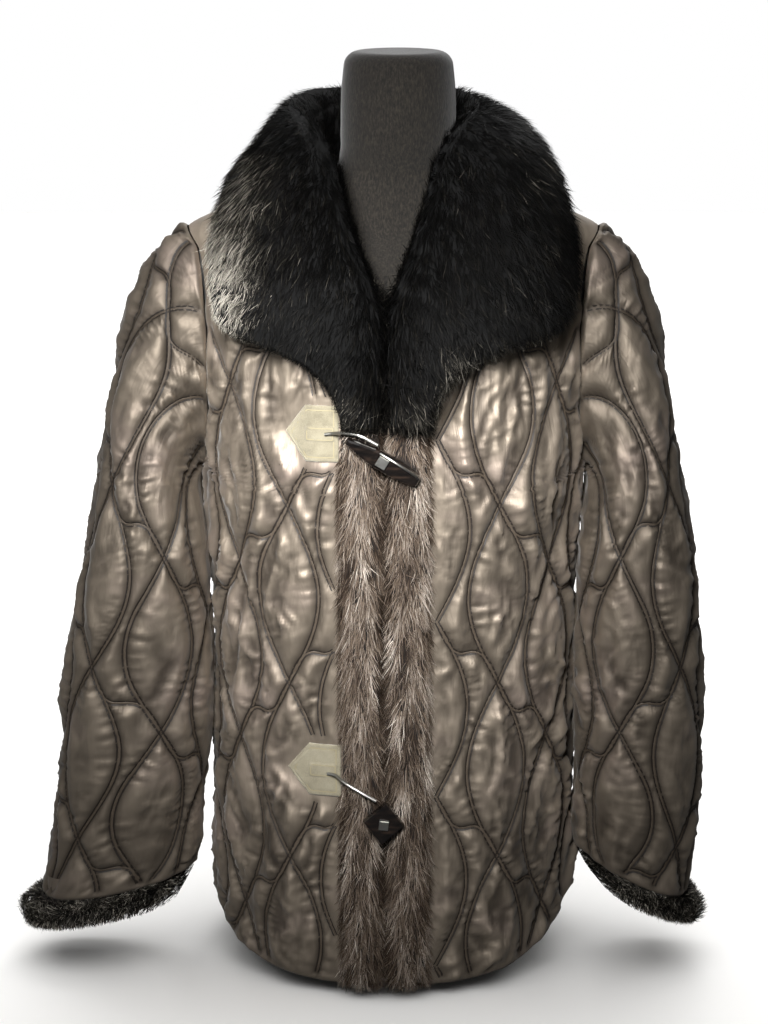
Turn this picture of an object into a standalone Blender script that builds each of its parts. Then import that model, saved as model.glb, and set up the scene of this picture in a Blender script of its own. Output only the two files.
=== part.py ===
"""Quilted jacket with a fur collar, fur front edges and fur cuffs, worn by a neck-and-torso dress form.

Metres, +Z up. The jacket faces -Y and the wearer's right side is at -X. The origin is the middle of
the dress form's flat underside. Every cloth piece is laid out flat first, in s (round the body or
the sleeve) and t (height), with its seams, stitch lines and puff crests, and is then set on the
torso or sleeve form, with an inner face and a raised outer face joined by the seam edge.
"""
import math

import bmesh
import bpy
import numpy as np
from mathutils import Vector
from mathutils.geometry import delaunay_2d_cdt

MM = 0.001

# ---- cloth and fur -----------------------------------------------------------------------------
CLOTH = 2.2 * MM            # wall at a stitch line: shell, wadding and lining sewn flat
PUFF = 6.0 * MM             # how far the wadding stands proud between stitch lines
PUFF_REACH = 19 * MM        # distance from a stitch line at which the puff is full
SEAM_GAP = 0.35 * MM        # between neighbouring pieces
LAY_GAP = 0.4 * MM          # between a panel and what is sewn on it
STEP = 22 * MM              # spacing of points along a seam
CLEAR_OF_SEAM = 7 * MM      # stitch lines stop this short of a seam
LINING_STEP = 48 * MM       # spacing of points on the plain inner face
CAP_LINING = 24 * MM        # and round the top of a sleeve
CAP_FROM = 590 * MM
LINING_EDGE = 8 * MM        # these points stop this short of a seam
SHOULDER_EDGE = 3 * MM
SHOULDER_ROWS = [648, 664, 680, 694, 705, 715, 725, 734, 743, 751, 758]       # heights (mm)
SHOULDER_SHARES = [0.0, 0.1, 0.22, 0.34, 0.46, 0.57, 0.67, 0.76, 0.84, 0.91, 0.97]       # to the side

# ---- quilting: pointed leaves in columns, joined by slanting links -----------------------------
LEAF_HALF = 29 * MM
LEAF_LENGTH = 170 * MM
COLUMN = 58 * MM
SHEAR = 0.375               # each column is shifted by this share of a leaf
LEAF_STEPS = 7
LINK_STEPS = 3
BODY_NODE = (97 * MM, 136 * MM)      # one stitch crossing on a front: s, height
SLEEVE_NODE = (110 * MM, 80 * MM)

# ---- torso form of the cloth's inner face: height, half width, front, back (mm), roundness -----
TORSO = [
    (-10, 168, 134, 119, 2.3),
    (60, 169, 134, 118, 2.3),
    (200, 168, 131, 113, 2.3),
    (330, 166, 127, 106, 2.3),
    (430, 169, 128, 105, 2.3),
    (490, 173, 128, 107, 2.3),
    (550, 177, 124, 109, 2.3),
    (610, 182, 113, 108, 2.25),
    (665, 187, 93, 98, 2.15),
    (695, 189, 73, 83, 2.05),
    (710, 188, 60, 70, 2.0),
    (725, 158, 53, 63, 2.0),
    (739, 123, 49, 58, 2.0),
    (752, 90, 46, 54, 2.0),
    (763, 65, 44, 50, 2.0),
    (780, 54, 45, 48, 2.0),
    (800, 51, 46, 48, 2.0),
    (846, 49.5, 46, 47, 2.0),
    (880, 48, 45, 46, 2.0),
]
ARMPIT = 490 * MM
SHOULDER_TIP = 710 * MM
NECK_POINT = 763 * MM
ARMHOLE_BITE = 56 * MM      # how far the armhole cuts into a panel
ARMHOLE_SHAPE = 0.85        # roundness of that curve
SLICE_SAMPLES = 72          # fine points in a quarter slice of the torso
ARMHOLE_STEPS = 14
CLOSING_X = -8 * MM         # the fronts meet this far to the wearer's right
FRONT_GAP = 6 * MM
FRONT_NECK = [(755, 73), (745, 62), (718, 46), (684, 29), (655, 17)]      # height, s (mm)
FRONT_NECK_END = 638 * MM
BACK_NECK = [(759, 60), (757, 30)]
BACK_NECK_MIDDLE = 756.5 * MM
HEM_FRONT = 10 * MM
HEM_BACK = 16 * MM
HEM_SIDE = {-1: 68 * MM, 1: 99 * MM}         # at the wearer's right and left side seams

HEM_CURVE = 2.9             # flat round the middle, rising towards the sides

# ---- large soft folds of the fronts: s, top, foot, half width, height (mm) ---------------------
FRONT_FOLDS = [
    (66, 660, 420, 17, 4),
    (98, 650, 440, 15, -3),
    (128, 660, 330, 18, 5),
    (160, 600, 300, 18, -4),
    (188, 480, 90, 20, 4),
    (150, 240, 10, 22, -4),
    (108, 260, 10, 20, 4),
]

# ---- sleeves, inner face: height, outer x, inner x, middle y, half depth (mm) ------------------
SLEEVES = {
    "right": [
        (40, 362, 222, -46, 43),
        (92, 333, 196, -47, 44),
        (160, 321, 190, -48, 47),
        (228, 311, 180, -49, 51),
        (294, 304, 178, -48, 54),
        (360, 293, 178, -45, 57),
        (424, 281, 181, -37, 61),
        (470, 273, 187, -25, 65),
    ],
    "left": [
        (40, 300, 222, -46, 47),
        (92, 281, 183, -47, 51),
        (160, 288, 181, -48, 53),
        (228, 288, 179, -48, 54),
        (294, 285, 178, -47, 56),
        (360, 281, 178, -44, 58),
        (424, 275, 181, -36, 61),
        (470, 266, 187, -25, 65),
    ],
}
SLEEVE_TOP = 470 * MM       # below this height the sleeve is a plain tube
SLEEVE_ROUND = 355 * MM     # sleeve width laid flat
SLEEVE_END = {"right": (82 * MM, 17 * MM), "left": (96 * MM, 27 * MM)}      # height, tilt
TILT_FADE = 260 * MM
SLEEVE_SHAPE = 2.2          # roundness of the tube's slice
SLEEVE_TURNS = 73           # samples round the armhole
TIP_GAP = 0.9 * MM          # between the sleeve and the body at the shoulder tip
FOLD_REACH = 0.6            # share of the armhole that is folded on to the body
CAP_SLACK = 1.12            # the head's cut is longer than the straight way from tube to armhole
CAP_OUT = (-0.12, -0.45, 0.2)        # the head leaves the armhole: forwards, down, and less so at the top
CAP_PULLS = (0.75, 0.15, 1.1)        # strength of the way out, its loss at the top, and of the way down
TUBE_PROBE = 5 * MM
SLEEVE_LIFT = 4.2 * MM      # where it meets the body in a fold, the sleeve starts on the body's face
CUFF_HEIGHT = 31 * MM
CUFF_PROFILE = [(0.0, 3), (0.12, 9), (0.45, 15), (0.8, 17), (1.0, 9)]       # down, fur depth (mm)
CUFF_INNER = 0.4            # share of the fur's depth that is left on the body's side
CUFF_SIDES = 28

# ---- fur strips along the front edges ----------------------------------------------------------
STRIP_WIDTH = 36 * MM
STRIP_TOP = 551 * MM
STRIP_DEPTH = 15 * MM
STRIP_EDGE = 3 * MM

# ---- tabs: pentagons sewn on the right front, pointing outwards --------------------------------
TAB_POINT = 98 * MM         # s of the point
TAB_SHOULDER = 78 * MM      # s where the slanting sides begin
TAB_HALF = 25 * MM
TAB_THICK = 1.6 * MM
TAB_HEIGHTS = {"upper": 545 * MM, "lower": 225 * MM}
TAB_STEP = 18 * MM          # between points on a tab's rim
TAB_INNER = (16 * MM, 32 * MM)       # points inside it, from its straight end
TAB_APART = 1.2 * MM        # from the strip's edge to the tab

# ---- collar: five points of the fur's middle line at each station, wearer's side out (mm) ------
COLLAR = [
    # half thickness, then x, y, z of the seam, stand, roll, fall and edge
    (15, (0, 62, 759), (0, 64, 800), (0, 84, 820), (0, 120, 780), (0, 132, 676)),
    (15, (46, 50, 759), (48, 54, 800), (62, 68, 820), (94, 98, 784), (108, 120, 680)),
    (14, (64, 28, 761), (64, 30, 798), (78, 40, 816), (112, 64, 786), (142, 90, 710)),
    (13, (71, 0, 763), (69, 0, 799), (82, 0, 816), (112, 2, 794), (142, 4, 764)),
    (14, (66, -28, 755), (64, -32, 794), (78, -46, 812), (114, -66, 776), (158, -76, 702)),
    (15, (48, -50, 742), (50, -60, 772), (64, -80, 790), (110, -106, 738), (150, -114, 652)),
    (15, (32, -80, 702), (36, -92, 722), (50, -108, 738), (94, -128, 702), (130, -130, 638)),
    (14, (12, -108, 664), (16, -122, 676), (30, -136, 684), (64, -148, 664), (94, -146, 628)),
    (13, (4, -125, 636), (7, -137, 642), (16, -148, 646), (38, -155, 636), (60, -152, 610)),
    (11, (4, -131, 592), (6, -141, 594), (13, -150, 596), (28, -154, 590), (42, -151, 580)),
    (9, (4, -134, 557), (6, -141, 557), (12, -148, 557), (25, -151, 556), (37, -147, 554)),
]
COVERED_FRONT = 662 * MM    # the shells are sewn plain above these heights, under the collar
COVERED_BACK = 690 * MM
COLLAR_STATIONS = 19        # on each half
COLLAR_SPINE = 7
COLLAR_SEAM_CLEAR = 3.4 * MM         # from the torso form to the collar's underside at its seam
COLLAR_CLEAR = 10.5 * MM    # and from its roll outwards
COLLAR_LIFTS = 3            # the clearance is full at a third of the way from the seam
COLLAR_TIP = 0.8            # how far the rounded edge stands out, in half thicknesses
COLLAR_CLOSES = 6           # station from which the halves follow the line where the fronts meet
LEFT_COLLAR = 1.04          # the wearer's left half lies a little wider
COLLAR_LEAN = (0, 0, -8, 5, 0)       # how far seam, stand, roll, fall and edge lie to one side (mm)
LEAN_STATIONS = (5, 7)      # the lean fades between these stations
FUR_EDGE = 0.16             # share of the collar's thickness left at its seam
FUR_SWELL = (0.06, 0.75, 0.8)        # start, reach and roundness of the fur's swell across the collar

# ---- toggles -----------------------------------------------------------------------------------
TOGGLE_LENGTH = 74 * MM
TOGGLE_WIDTH = 17 * MM
TOGGLE_THICK = 10 * MM
TOGGLE_SHAPE = [
    # share of the half length, share of the width
    (-1.0, 0.30),
    (-0.7, 0.62),
    (-0.2, 0.95),
    (0.35, 1.0),
    (0.8, 0.8),
    (1.0, 0.5),
]
TOGGLE_BEVEL = 2.5 * MM
UPPER_TOGGLE = (-10 * MM, -149.2 * MM, 527 * MM)
UPPER_TILT = math.radians(31)
LOWER_TOGGLE = (-9 * MM, -153.6 * MM, 184 * MM)
LOWER_TILT = math.radians(6)
LOWER_SIZE = 21 * MM        # half height of the lower toggle's diamond
LOWER_SLIM = 0.9            # its width over its height
UPPER_STUD = 9.6 * MM
LOWER_STUD = 8.9 * MM
STUD_THICK = 2 * MM
STUD_BEVEL = 0.4 * MM
CORD = 1.6 * MM             # half thickness of the toggle cords
CORD_SIDES = 8
CORD_RINGS = 12
# the cords' middle lines, from the tab over the fur strip to the toggle (mm)
CORDS = {
    "upper": [
        (-61, -129.2, 546),
        (-53, -132.6, 548),
        (-45, -142, 550.6),
        (-30, -148.5, 550),
        (-14, -149.8, 541.6),
    ],
    "lower": [
        (-61, -130.7, 223),
        (-53, -135.5, 223),
        (-45, -146, 220.5),
        (-30, -152.5, 213.5),
        (-16, -154.5, 206),
    ],
}

# ---- dress form: height, how far inside the jacket's inner face (mm) ---------------------------
FORM_INSET = [
    (0, 30),
    (60, 22),
    (200, 15),
    (500, 12),
    (640, 10),
    (690, 9),
    (712, 9),
    (739, 8.5),
    (752, 8.6),
    (763, 7.2),
    (775, 3.5),
    (790, 0),
    (880, 0),
]
FORM_TOP = 871 * MM
NECK_LEAN = 4.5 * MM        # the neck block stands this far to the wearer's left
NECK_LEAN_FROM = 735 * MM
NECK_LEAN_OVER = 70 * MM
FORM_RIM = 12 * MM
FORM_RIM_STEPS = 4
FORM_SIDES = 40
FORM_HEIGHTS = [
    0, 15, 40, 80, 140, 200, 270, 340, 410, 470, 530, 590, 640, 670, 695,
    708, 718, 728, 739, 750, 760, 770, 783, 800, 830,
]

COLOURS = {
    "taupe satin": ((0.165, 0.145, 0.118), 0.38),
    "dark fur": ((0.012, 0.011, 0.010), 0.9),
    "brown fur": ((0.085, 0.068, 0.052), 0.85),
    "suede": ((0.58, 0.53, 0.40), 0.9),
    "grey cord": ((0.32, 0.32, 0.30), 0.45),
    "grey metal": ((0.45, 0.45, 0.43), 0.35),
    "dark horn": ((0.015, 0.012, 0.010), 0.25),
    "grey jersey": ((0.045, 0.041, 0.036), 0.95),
}


def clear_scene():
    for thing in list(bpy.data.objects):
        bpy.data.objects.remove(thing, do_unlink=True)


def make_material(name):
    colour, roughness = COLOURS[name]
    material = bpy.data.materials.new(name)
    material.use_nodes = True
    shader = material.node_tree.nodes["Principled BSDF"]
    shader.inputs["Base Color"].default_value = (*colour, 1.0)
    shader.inputs["Roughness"].default_value = roughness
    material.diffuse_color = (*colour, 1.0)
    return material


def add_object(name, points, faces, material, merge=False):
    """One closed body from points and faces, its faces turned outwards and shaded smooth."""
    mesh = bpy.data.meshes.new(name)
    mesh.from_pydata([tuple(point) for point in points], [], [tuple(face) for face in faces])
    body = bmesh.new()
    body.from_mesh(mesh)
    if merge:
        bmesh.ops.remove_doubles(body, verts=body.verts, dist=0.02 * MM)
    bmesh.ops.triangulate(body, faces=body.faces)
    bmesh.ops.recalc_face_normals(body, faces=body.faces)
    body.to_mesh(mesh)
    body.free()
    mesh.shade_smooth()
    mesh.set_sharp_from_angle(angle=math.radians(50))
    mesh.materials.append(make_material(material))
    thing = bpy.data.objects.new(name, mesh)
    bpy.context.scene.collection.objects.link(thing)
    return thing


def ring_faces(rings, size):
    """Faces of a tube of equal rings, with both ends closed."""
    faces = [tuple(range(size)), tuple(reversed(range((rings - 1) * size, rings * size)))]
    for ring in range(rings - 1):
        for i in range(size):
            j = (i + 1) % size
            faces.append((
                ring * size + i, ring * size + j,
                (ring + 1) * size + j, (ring + 1) * size + i,
            ))
    return faces


# ---- the torso form ----------------------------------------------------------------------------
def read_column(table, column, at):
    """Smooth curve through one column of a table whose first column is the height in mm."""
    heights = np.array([row[0] for row in table]) * MM
    values = np.array([row[column] for row in table], dtype=float)
    slopes = np.gradient(values, heights)
    place = np.clip(np.searchsorted(heights, at) - 1, 0, len(heights) - 2)
    span = heights[place + 1] - heights[place]
    u = np.clip((at - heights[place]) / span, 0.0, 1.0)
    start = (2 * u**3 - 3 * u**2 + 1) * values[place] + (u**3 - 2 * u**2 + u) * span * slopes[place]
    end = (3 * u**2 - 2 * u**3) * values[place + 1] + (u**3 - u**2) * span * slopes[place + 1]
    return start + end


def torso_size(z, front):
    """Half width, depth and roundness of the torso at each height, on its front or its back."""
    width = read_column(TORSO, 1, z) * MM
    depth = read_column(TORSO, 2 if front else 3, z) * MM
    return width, depth, read_column(TORSO, 4, z)


def torso_slice(z, front):
    """Fine points of a quarter slice at each height, from the centre line to the side."""
    width, depth, power = torso_size(z, front)
    turn = np.linspace(0.0, math.pi / 2, SLICE_SAMPLES)[None, :]
    across = width[:, None] * np.sin(turn) ** (2 / power[:, None])
    deep = depth[:, None] * np.cos(turn) ** (2 / power[:, None])
    run = np.hypot(np.diff(across, axis=1), np.diff(deep, axis=1))
    length = np.concatenate([np.zeros((len(z), 1)), np.cumsum(run, axis=1)], axis=1)
    return across, deep, length


def torso_reach(z, front):
    """Distance round the torso from the centre line to the side at one height."""
    return float(torso_slice(np.array([z]), front)[2][0, -1])


def torso_outward(points):
    """Unit normals of the torso form through each point."""
    x, y, z = points.T
    nudge = 0.2 * MM

    def level(height):
        width = read_column(TORSO, 1, height) * MM
        depth = np.where(y < 0, read_column(TORSO, 2, height), read_column(TORSO, 3, height)) * MM
        power = read_column(TORSO, 4, height)
        return (np.abs(x) / width) ** power + (np.abs(y) / depth) ** power, width, depth, power

    value, width, depth, power = level(z)
    grow = (level(z + nudge)[0] - level(z - nudge)[0]) / (2 * nudge)
    along_x = power * np.sign(x) * (np.abs(x) / width) ** (power - 1) / width
    along_y = power * np.sign(y) * (np.abs(y) / depth) ** (power - 1) / depth
    normal = np.stack([along_x, along_y, grow], axis=1)
    size = np.linalg.norm(normal, axis=1, keepdims=True)
    return normal / size, (value - 1.0) / size[:, 0]


def torso_place(flat, side, front, lift):
    """Points on the torso for flat points (s, z); side is -1 for the wearer's right."""
    s, z = flat[:, 0], flat[:, 1]
    across, deep, length = torso_slice(z, front)
    x = np.empty(len(s))
    y = np.empty(len(s))
    for row, distance in enumerate(np.abs(s)):
        x[row] = np.interp(distance, length[row], across[row])
        y[row] = np.interp(distance, length[row], deep[row])
    points = np.stack([side * np.sign(s) * x, -y if front else y, z], axis=1)
    return points + torso_outward(points)[0] * np.asarray(lift)[:, None]


# ---- flat layout -------------------------------------------------------------------------------
def sample(start, end, step=STEP):
    """Points from start up to but not including end, evenly spaced."""
    start, end = np.array(start, dtype=float), np.array(end, dtype=float)
    count = max(1, math.ceil(np.linalg.norm(end - start) / step))
    return [tuple(start + (end - start) * i / count) for i in range(count)]


def distance_to_lines(points, starts, ends):
    """Distance from each flat point to the nearest of many short straight lines."""
    along = ends - starts
    square = np.maximum((along**2).sum(axis=1), 1e-18)
    offset = points[:, None, :] - starts[None, :, :]
    u = np.clip((offset * along[None, :, :]).sum(axis=2) / square[None, :], 0.0, 1.0)
    gap = offset - u[:, :, None] * along[None, :, :]
    return np.sqrt((gap**2).sum(axis=2)).min(axis=1)


def loop_lines(outline):
    starts = np.array(outline)
    return starts, np.roll(starts, -1, axis=0)


def inside(points, outline):
    """True for each flat point that lies inside a closed outline."""
    x, y = points[:, 0], points[:, 1]
    odd = np.zeros(len(points), dtype=bool)
    starts, ends = loop_lines(outline)
    for (x0, y0), (x1, y1) in zip(starts, ends):
        if y0 == y1:
            continue
        crosses = (y0 > y) != (y1 > y)
        odd ^= crosses & (x < x0 + (y - y0) * (x1 - x0) / (y1 - y0))
    return odd


def quilting(node, lean, s_range, t_range):
    """Stitch lines, as lists of flat points, and the puff crests between them."""
    lines = []
    crests = []
    shift = lean * SHEAR * LEAF_LENGTH
    first = math.floor((s_range[0] - node[0]) / COLUMN) - 1
    last = math.ceil((s_range[1] - node[0]) / COLUMN) + 1
    for column in range(first, last + 1):
        middle = node[0] + column * COLUMN
        base = (node[1] + column * shift) % LEAF_LENGTH + t_range[0] - LEAF_LENGTH
        base -= t_range[0] % LEAF_LENGTH
        while base < t_range[1]:
            leaf = [i / LEAF_STEPS for i in range(LEAF_STEPS + 1)]
            for edge in (-1, 1):
                lines.append([
                    (middle + edge * LEAF_HALF * math.sin(math.pi * u), base + u * LEAF_LENGTH)
                    for u in leaf
                ])
            lines.append([
                (middle + COLUMN * u, base + shift * (u + 0.18 * math.sin(2 * math.pi * u)))
                for u in [i / LINK_STEPS for i in range(LINK_STEPS + 1)]
            ])
            crests += [(middle, base + u * LEAF_LENGTH) for u in (0.17, 0.83)]
            crests += [
                (middle + edge * LEAF_HALF * 0.4, base + u * LEAF_LENGTH)
                for u in (0.35, 0.5, 0.65)
                for edge in (-1, 1)
            ]
            crests += [
                (middle + 0.5 * COLUMN, base + 0.5 * shift + rise * LEAF_LENGTH)
                for rise in (-0.17, 0.17)
            ]
            base += LEAF_LENGTH
    return lines, crests


def keep_runs(lines, keep):
    """The parts of each line whose points are kept."""
    runs = []
    for line in lines:
        good = keep(np.array(line))
        run = []
        for point, wanted in zip(line, good):
            if wanted:
                run.append(point)
            elif run:
                runs.append(run)
                run = []
        if run:
            runs.append(run)
    return [run for run in runs if len(run) > 1]


def triangles_of(outline, lines=(), points=(), loops=()):
    """Flat triangulation that keeps the outline, lines and inner loops as edges."""
    flat = list(outline)
    edges = [(i, (i + 1) % len(outline)) for i in range(len(outline))]
    for line in lines:
        edges += [(len(flat) + i, len(flat) + i + 1) for i in range(len(line) - 1)]
        flat += list(line)
    for loop in loops:
        edges += [(len(flat) + i, len(flat) + (i + 1) % len(loop)) for i in range(len(loop))]
        flat += list(loop)
    flat += list(points)
    made = delaunay_2d_cdt([Vector(point) for point in flat], edges, [], 0, 1e-6, True)
    corners = np.array([tuple(point) for point in made[0]])
    faces = np.array([tuple(face) for face in made[2]])
    faces = faces[inside(corners[faces].mean(axis=1), outline)]
    rim = {}
    for index, origins in enumerate(made[3]):
        for origin in origins:
            rim[origin] = index
    return corners, faces, [rim[i] for i in range(len(outline))]


class Quilt:
    """Relief of one cloth piece: zero on stitch lines and seams, full between them."""

    def __init__(self, outline, lines, plain):
        starts = [np.array(line[:-1]) for line in lines] + [loop_lines(outline)[0]]
        ends = [np.array(line[1:]) for line in lines] + [loop_lines(outline)[1]]
        self.starts = np.concatenate(starts)
        self.ends = np.concatenate(ends)
        self.plain = plain

    def rise(self, flat):
        distance = distance_to_lines(flat, self.starts, self.ends)
        rise = PUFF * np.sin(math.pi / 2 * np.clip(distance / PUFF_REACH, 0.0, 1.0))
        for region in self.plain:
            away = distance_to_lines(flat, *loop_lines(region))
            away[inside(flat, region)] = 0.0
            rise *= np.clip(away / PUFF_REACH, 0.0, 1.0)
        return rise


def within(points, outline, edge):
    """The flat points that lie inside an outline, at least so far from its edge."""
    points = np.array(points)
    good = inside(points, outline) & (distance_to_lines(points, *loop_lines(outline)) > edge)
    return [tuple(point) for point in points[good]]


def lining_points(outline, top):
    """Sparse points for the plain inner face, up to a height."""
    low, high = np.min(outline, axis=0), np.max(outline, axis=0)
    grid = []
    t = low[1] + LINING_STEP / 2
    while t < min(high[1], top):
        step = CAP_LINING if t > CAP_FROM else LINING_STEP
        grid += [(s, t) for s in np.arange(low[0] + step / 2, high[0], step)]
        t += step
    return within(grid, outline, LINING_EDGE)


def shoulder_points(front, sides):
    """Rows of points where the cloth curves over the shoulder, closer together towards the ridge."""
    points = []
    for height in SHOULDER_ROWS:
        reach = torso_reach(height * MM, front)
        for share in SHOULDER_SHARES:
            points += [(side * share * reach, height * MM) for side in sides]
    return points


class Panel:
    """One cloth piece: its flat layout and the wall made from it."""

    def __init__(self, name, outline, lines, crests, place, regions=(), plain=(), joined=(), shoulder=()):
        edge = loop_lines(outline)

        def clear(points):
            good = inside(points, outline)
            good &= distance_to_lines(points, *edge) > CLEAR_OF_SEAM
            for region in plain:
                good &= ~inside(points, region)
                good &= distance_to_lines(points, *loop_lines(region)) > CLEAR_OF_SEAM
            return good

        runs = keep_runs(lines, clear)
        crests = np.array(crests)
        crests = [tuple(point) for point in crests[clear(crests)]]
        inner_points = [point for region in regions for point in region["points"]]
        top = math.inf
        if shoulder:
            shoulder = within(shoulder, outline, SHOULDER_EDGE)
            inner_points += within(shoulder, plain[-1], CLEAR_OF_SEAM)
            top = min(point[1] for point in shoulder) - LINING_STEP / 4
        loops = [region["outline"] for region in regions]
        quilt = Quilt(outline, runs, plain)
        self.corners, self.faces, rim = triangles_of(outline, runs, crests + inner_points, loops)
        self.place = place
        self.rise = CLOTH + quilt.rise(self.corners)
        self.rise[rim] = CLOTH
        sparse = lining_points(outline, top) + list(shoulder)
        lining, inner_faces, inner_rim = triangles_of(outline, points=sparse)
        outer = place(self.corners, self.rise)
        inner = place(lining, np.zeros(len(lining)))
        shift = len(outer)
        faces = [tuple(face) for face in self.faces]
        faces += [tuple(index + shift for index in reversed(face)) for face in inner_faces]
        for i in range(len(outline)):
            after = (i + 1) % len(outline)
            if any(i in run and after in run for run in joined):
                continue
            faces.append((rim[i], rim[after], inner_rim[after] + shift, inner_rim[i] + shift))
        points = np.concatenate([outer, inner])
        add_object(name, points, faces, "taupe satin", merge=bool(joined))

    def lay_on(self, name, outline, thickness, material):
        """A piece sewn on this panel: the panel's own triangles in an outline, moved out."""
        faces = self.faces[inside(self.corners[self.faces].mean(axis=1), outline)]
        used = np.unique(faces)
        index = {int(old): new for new, old in enumerate(used)}
        faces = [tuple(index[int(corner)] for corner in face) for face in faces]
        flat = self.corners[used]
        under = self.rise[used] + LAY_GAP
        bottom = self.place(flat, under)
        top = self.place(flat, under + thickness(flat))
        count = len(used)
        edges = {}
        for face in faces:
            for a, b in zip(face, face[1:] + face[:1]):
                edges[(a, b)] = True
        rim = [(a, b) for a, b in edges if (b, a) not in edges]
        solid = [tuple(corner + count for corner in face) for face in faces]
        solid += [tuple(reversed(face)) for face in faces]
        solid += [(a, b, b + count, a + count) for a, b in rim]
        return add_object(name, np.concatenate([bottom, top]), solid, material)


# ---- body panels -------------------------------------------------------------------------------
def armhole(turn, front):
    """Flat point of the armhole edge; turn is 0 at the shoulder tip and pi at the armpit."""
    z = (SHOULDER_TIP + ARMPIT) / 2 + (SHOULDER_TIP - ARMPIT) / 2 * math.cos(turn)
    return torso_reach(z, front) - ARMHOLE_BITE * math.sin(turn) ** ARMHOLE_SHAPE, z


def side_line(low, high, front, steps):
    """Flat points up a side seam or along a shoulder seam, a hair short of the middle of the side."""
    heights = [low + (high - low) * i / steps for i in range(steps)]
    return [(torso_reach(z, front) - SEAM_GAP / 2, z) for z in heights]


def body_outline(front, side, start):
    """Half of a body panel, anticlockwise from the foot of its centre edge at s = start."""
    low = HEM_FRONT if front else HEM_BACK
    high = HEM_SIDE[side]
    reach = torso_reach(high, front) - SEAM_GAP / 2
    steps = math.ceil((reach - start) / STEP)
    outline = []
    for i in range(steps):
        s = start + (reach - start) * i / steps
        outline.append((s, low + (high - low) * (abs(s) / reach) ** HEM_CURVE))
    outline += side_line(high, ARMPIT, front, math.ceil((ARMPIT - high) / STEP))
    for i in range(ARMHOLE_STEPS):
        s, z = armhole(math.pi * (1 - i / ARMHOLE_STEPS), front)
        outline.append((s - SEAM_GAP / 2, z))
    outline += side_line(SHOULDER_TIP, NECK_POINT, front, 6)
    outline.append((torso_reach(NECK_POINT, front) - SEAM_GAP / 2, NECK_POINT))
    neck = FRONT_NECK if front else BACK_NECK
    outline += [(s * MM, z * MM) for z, s in neck]
    return outline


def strip_region(start, foot):
    """Where a fur strip is sewn on a front, with points for its rounded top."""
    inner, outer = start + SEAM_GAP, start + STRIP_WIDTH
    low, high = foot + 4 * MM, STRIP_TOP
    outline = sample((inner, low), (outer, low), STRIP_WIDTH / 3)
    outline += sample((outer, low), (outer, high), 26 * MM)
    outline += sample((outer, high), (inner, high), STRIP_WIDTH / 3)
    outline += sample((inner, high), (inner, low), 26 * MM)
    steps = int((high - low) / (26 * MM))
    points = [
        (inner + (outer - inner) * share, low + (high - low) * (i + 0.5) / steps)
        for i in range(steps)
        for share in (0.3, 0.7)
    ]
    return {"outline": outline, "points": points}


def tab_region(height):
    """A tab's pentagon, with a few points inside."""
    straight = STRIP_EDGE_S
    corners = [
        (straight, height - TAB_HALF),
        (TAB_SHOULDER, height - TAB_HALF),
        (TAB_POINT, height),
        (TAB_SHOULDER, height + TAB_HALF),
        (straight, height + TAB_HALF),
    ]
    outline = []
    for start, end in zip(corners, corners[1:] + corners[:1]):
        outline += sample(start, end, TAB_STEP)
    points = [(straight + inwards, height) for inwards in TAB_INNER]
    return {"outline": outline, "points": points}


RIGHT_START = FRONT_GAP / 2 - CLOSING_X
LEFT_START = FRONT_GAP / 2 + CLOSING_X
STRIP_EDGE_S = RIGHT_START + STRIP_WIDTH + TAB_APART
BODY_SPAN = ((-20 * MM, 300 * MM), (0.0, 800 * MM))


def under_collar(front):
    """Region that the collar covers, sewn without quilting there."""
    low = COVERED_FRONT if front else COVERED_BACK
    return [(-400 * MM, low), (400 * MM, low), (400 * MM, 900 * MM), (-400 * MM, 900 * MM)]


def front_folds(flat):
    """Height of the soft folds at flat points on a front."""
    s, z = np.abs(flat[:, 0]) / MM, flat[:, 1] / MM
    rise = np.zeros(len(flat))
    for middle, top, foot, half, height in FRONT_FOLDS:
        along = np.clip((z - foot) / (top - foot), 0.0, 1.0)
        rise += height * MM * np.sin(math.pi * along) * np.exp(-(((s - middle) / half) ** 2))
    return rise


def make_front(name, side, start):
    outline = body_outline(True, side, start)
    outline.append((start, FRONT_NECK_END))
    foot = HEM_FRONT
    outline += sample((start, FRONT_NECK_END), (start, foot), STEP)[1:]
    strip = strip_region(start, foot)
    regions = [strip]
    if side < 0:
        tabs = {key: tab_region(height) for key, height in TAB_HEIGHTS.items()}
        regions += list(tabs.values())
    plain = [region["outline"] for region in regions] + [under_collar(True)]
    lines, crests = quilting(BODY_NODE, -1, *BODY_SPAN)

    def place(flat, lift):
        return torso_place(flat, side, True, lift + front_folds(flat))

    shoulder = shoulder_points(True, (1,))
    panel = Panel(name, outline, lines, crests, place, regions, plain, shoulder=shoulder)
    word = name.split("_")[1]

    def pile(flat):
        across = np.clip((flat[:, 0] - start) / STRIP_WIDTH, 0.0, 1.0)
        ends = np.minimum(flat[:, 1] - foot - 4 * MM, STRIP_TOP - flat[:, 1])
        fade = np.clip(ends / (12 * MM), 0.0, 1.0)
        hump = np.sin(math.pi * np.clip(across * 0.86 + 0.07, 0.0, 1.0)) ** 0.6
        return STRIP_EDGE + (STRIP_DEPTH - STRIP_EDGE) * hump * (0.4 + 0.6 * fade)

    panel.lay_on("fur_strip_" + word, strip["outline"], pile, "brown fur")
    if side < 0:
        for key, region in tabs.items():
            panel.lay_on("tab_" + key, region["outline"], lambda flat: TAB_THICK, "suede")


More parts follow.
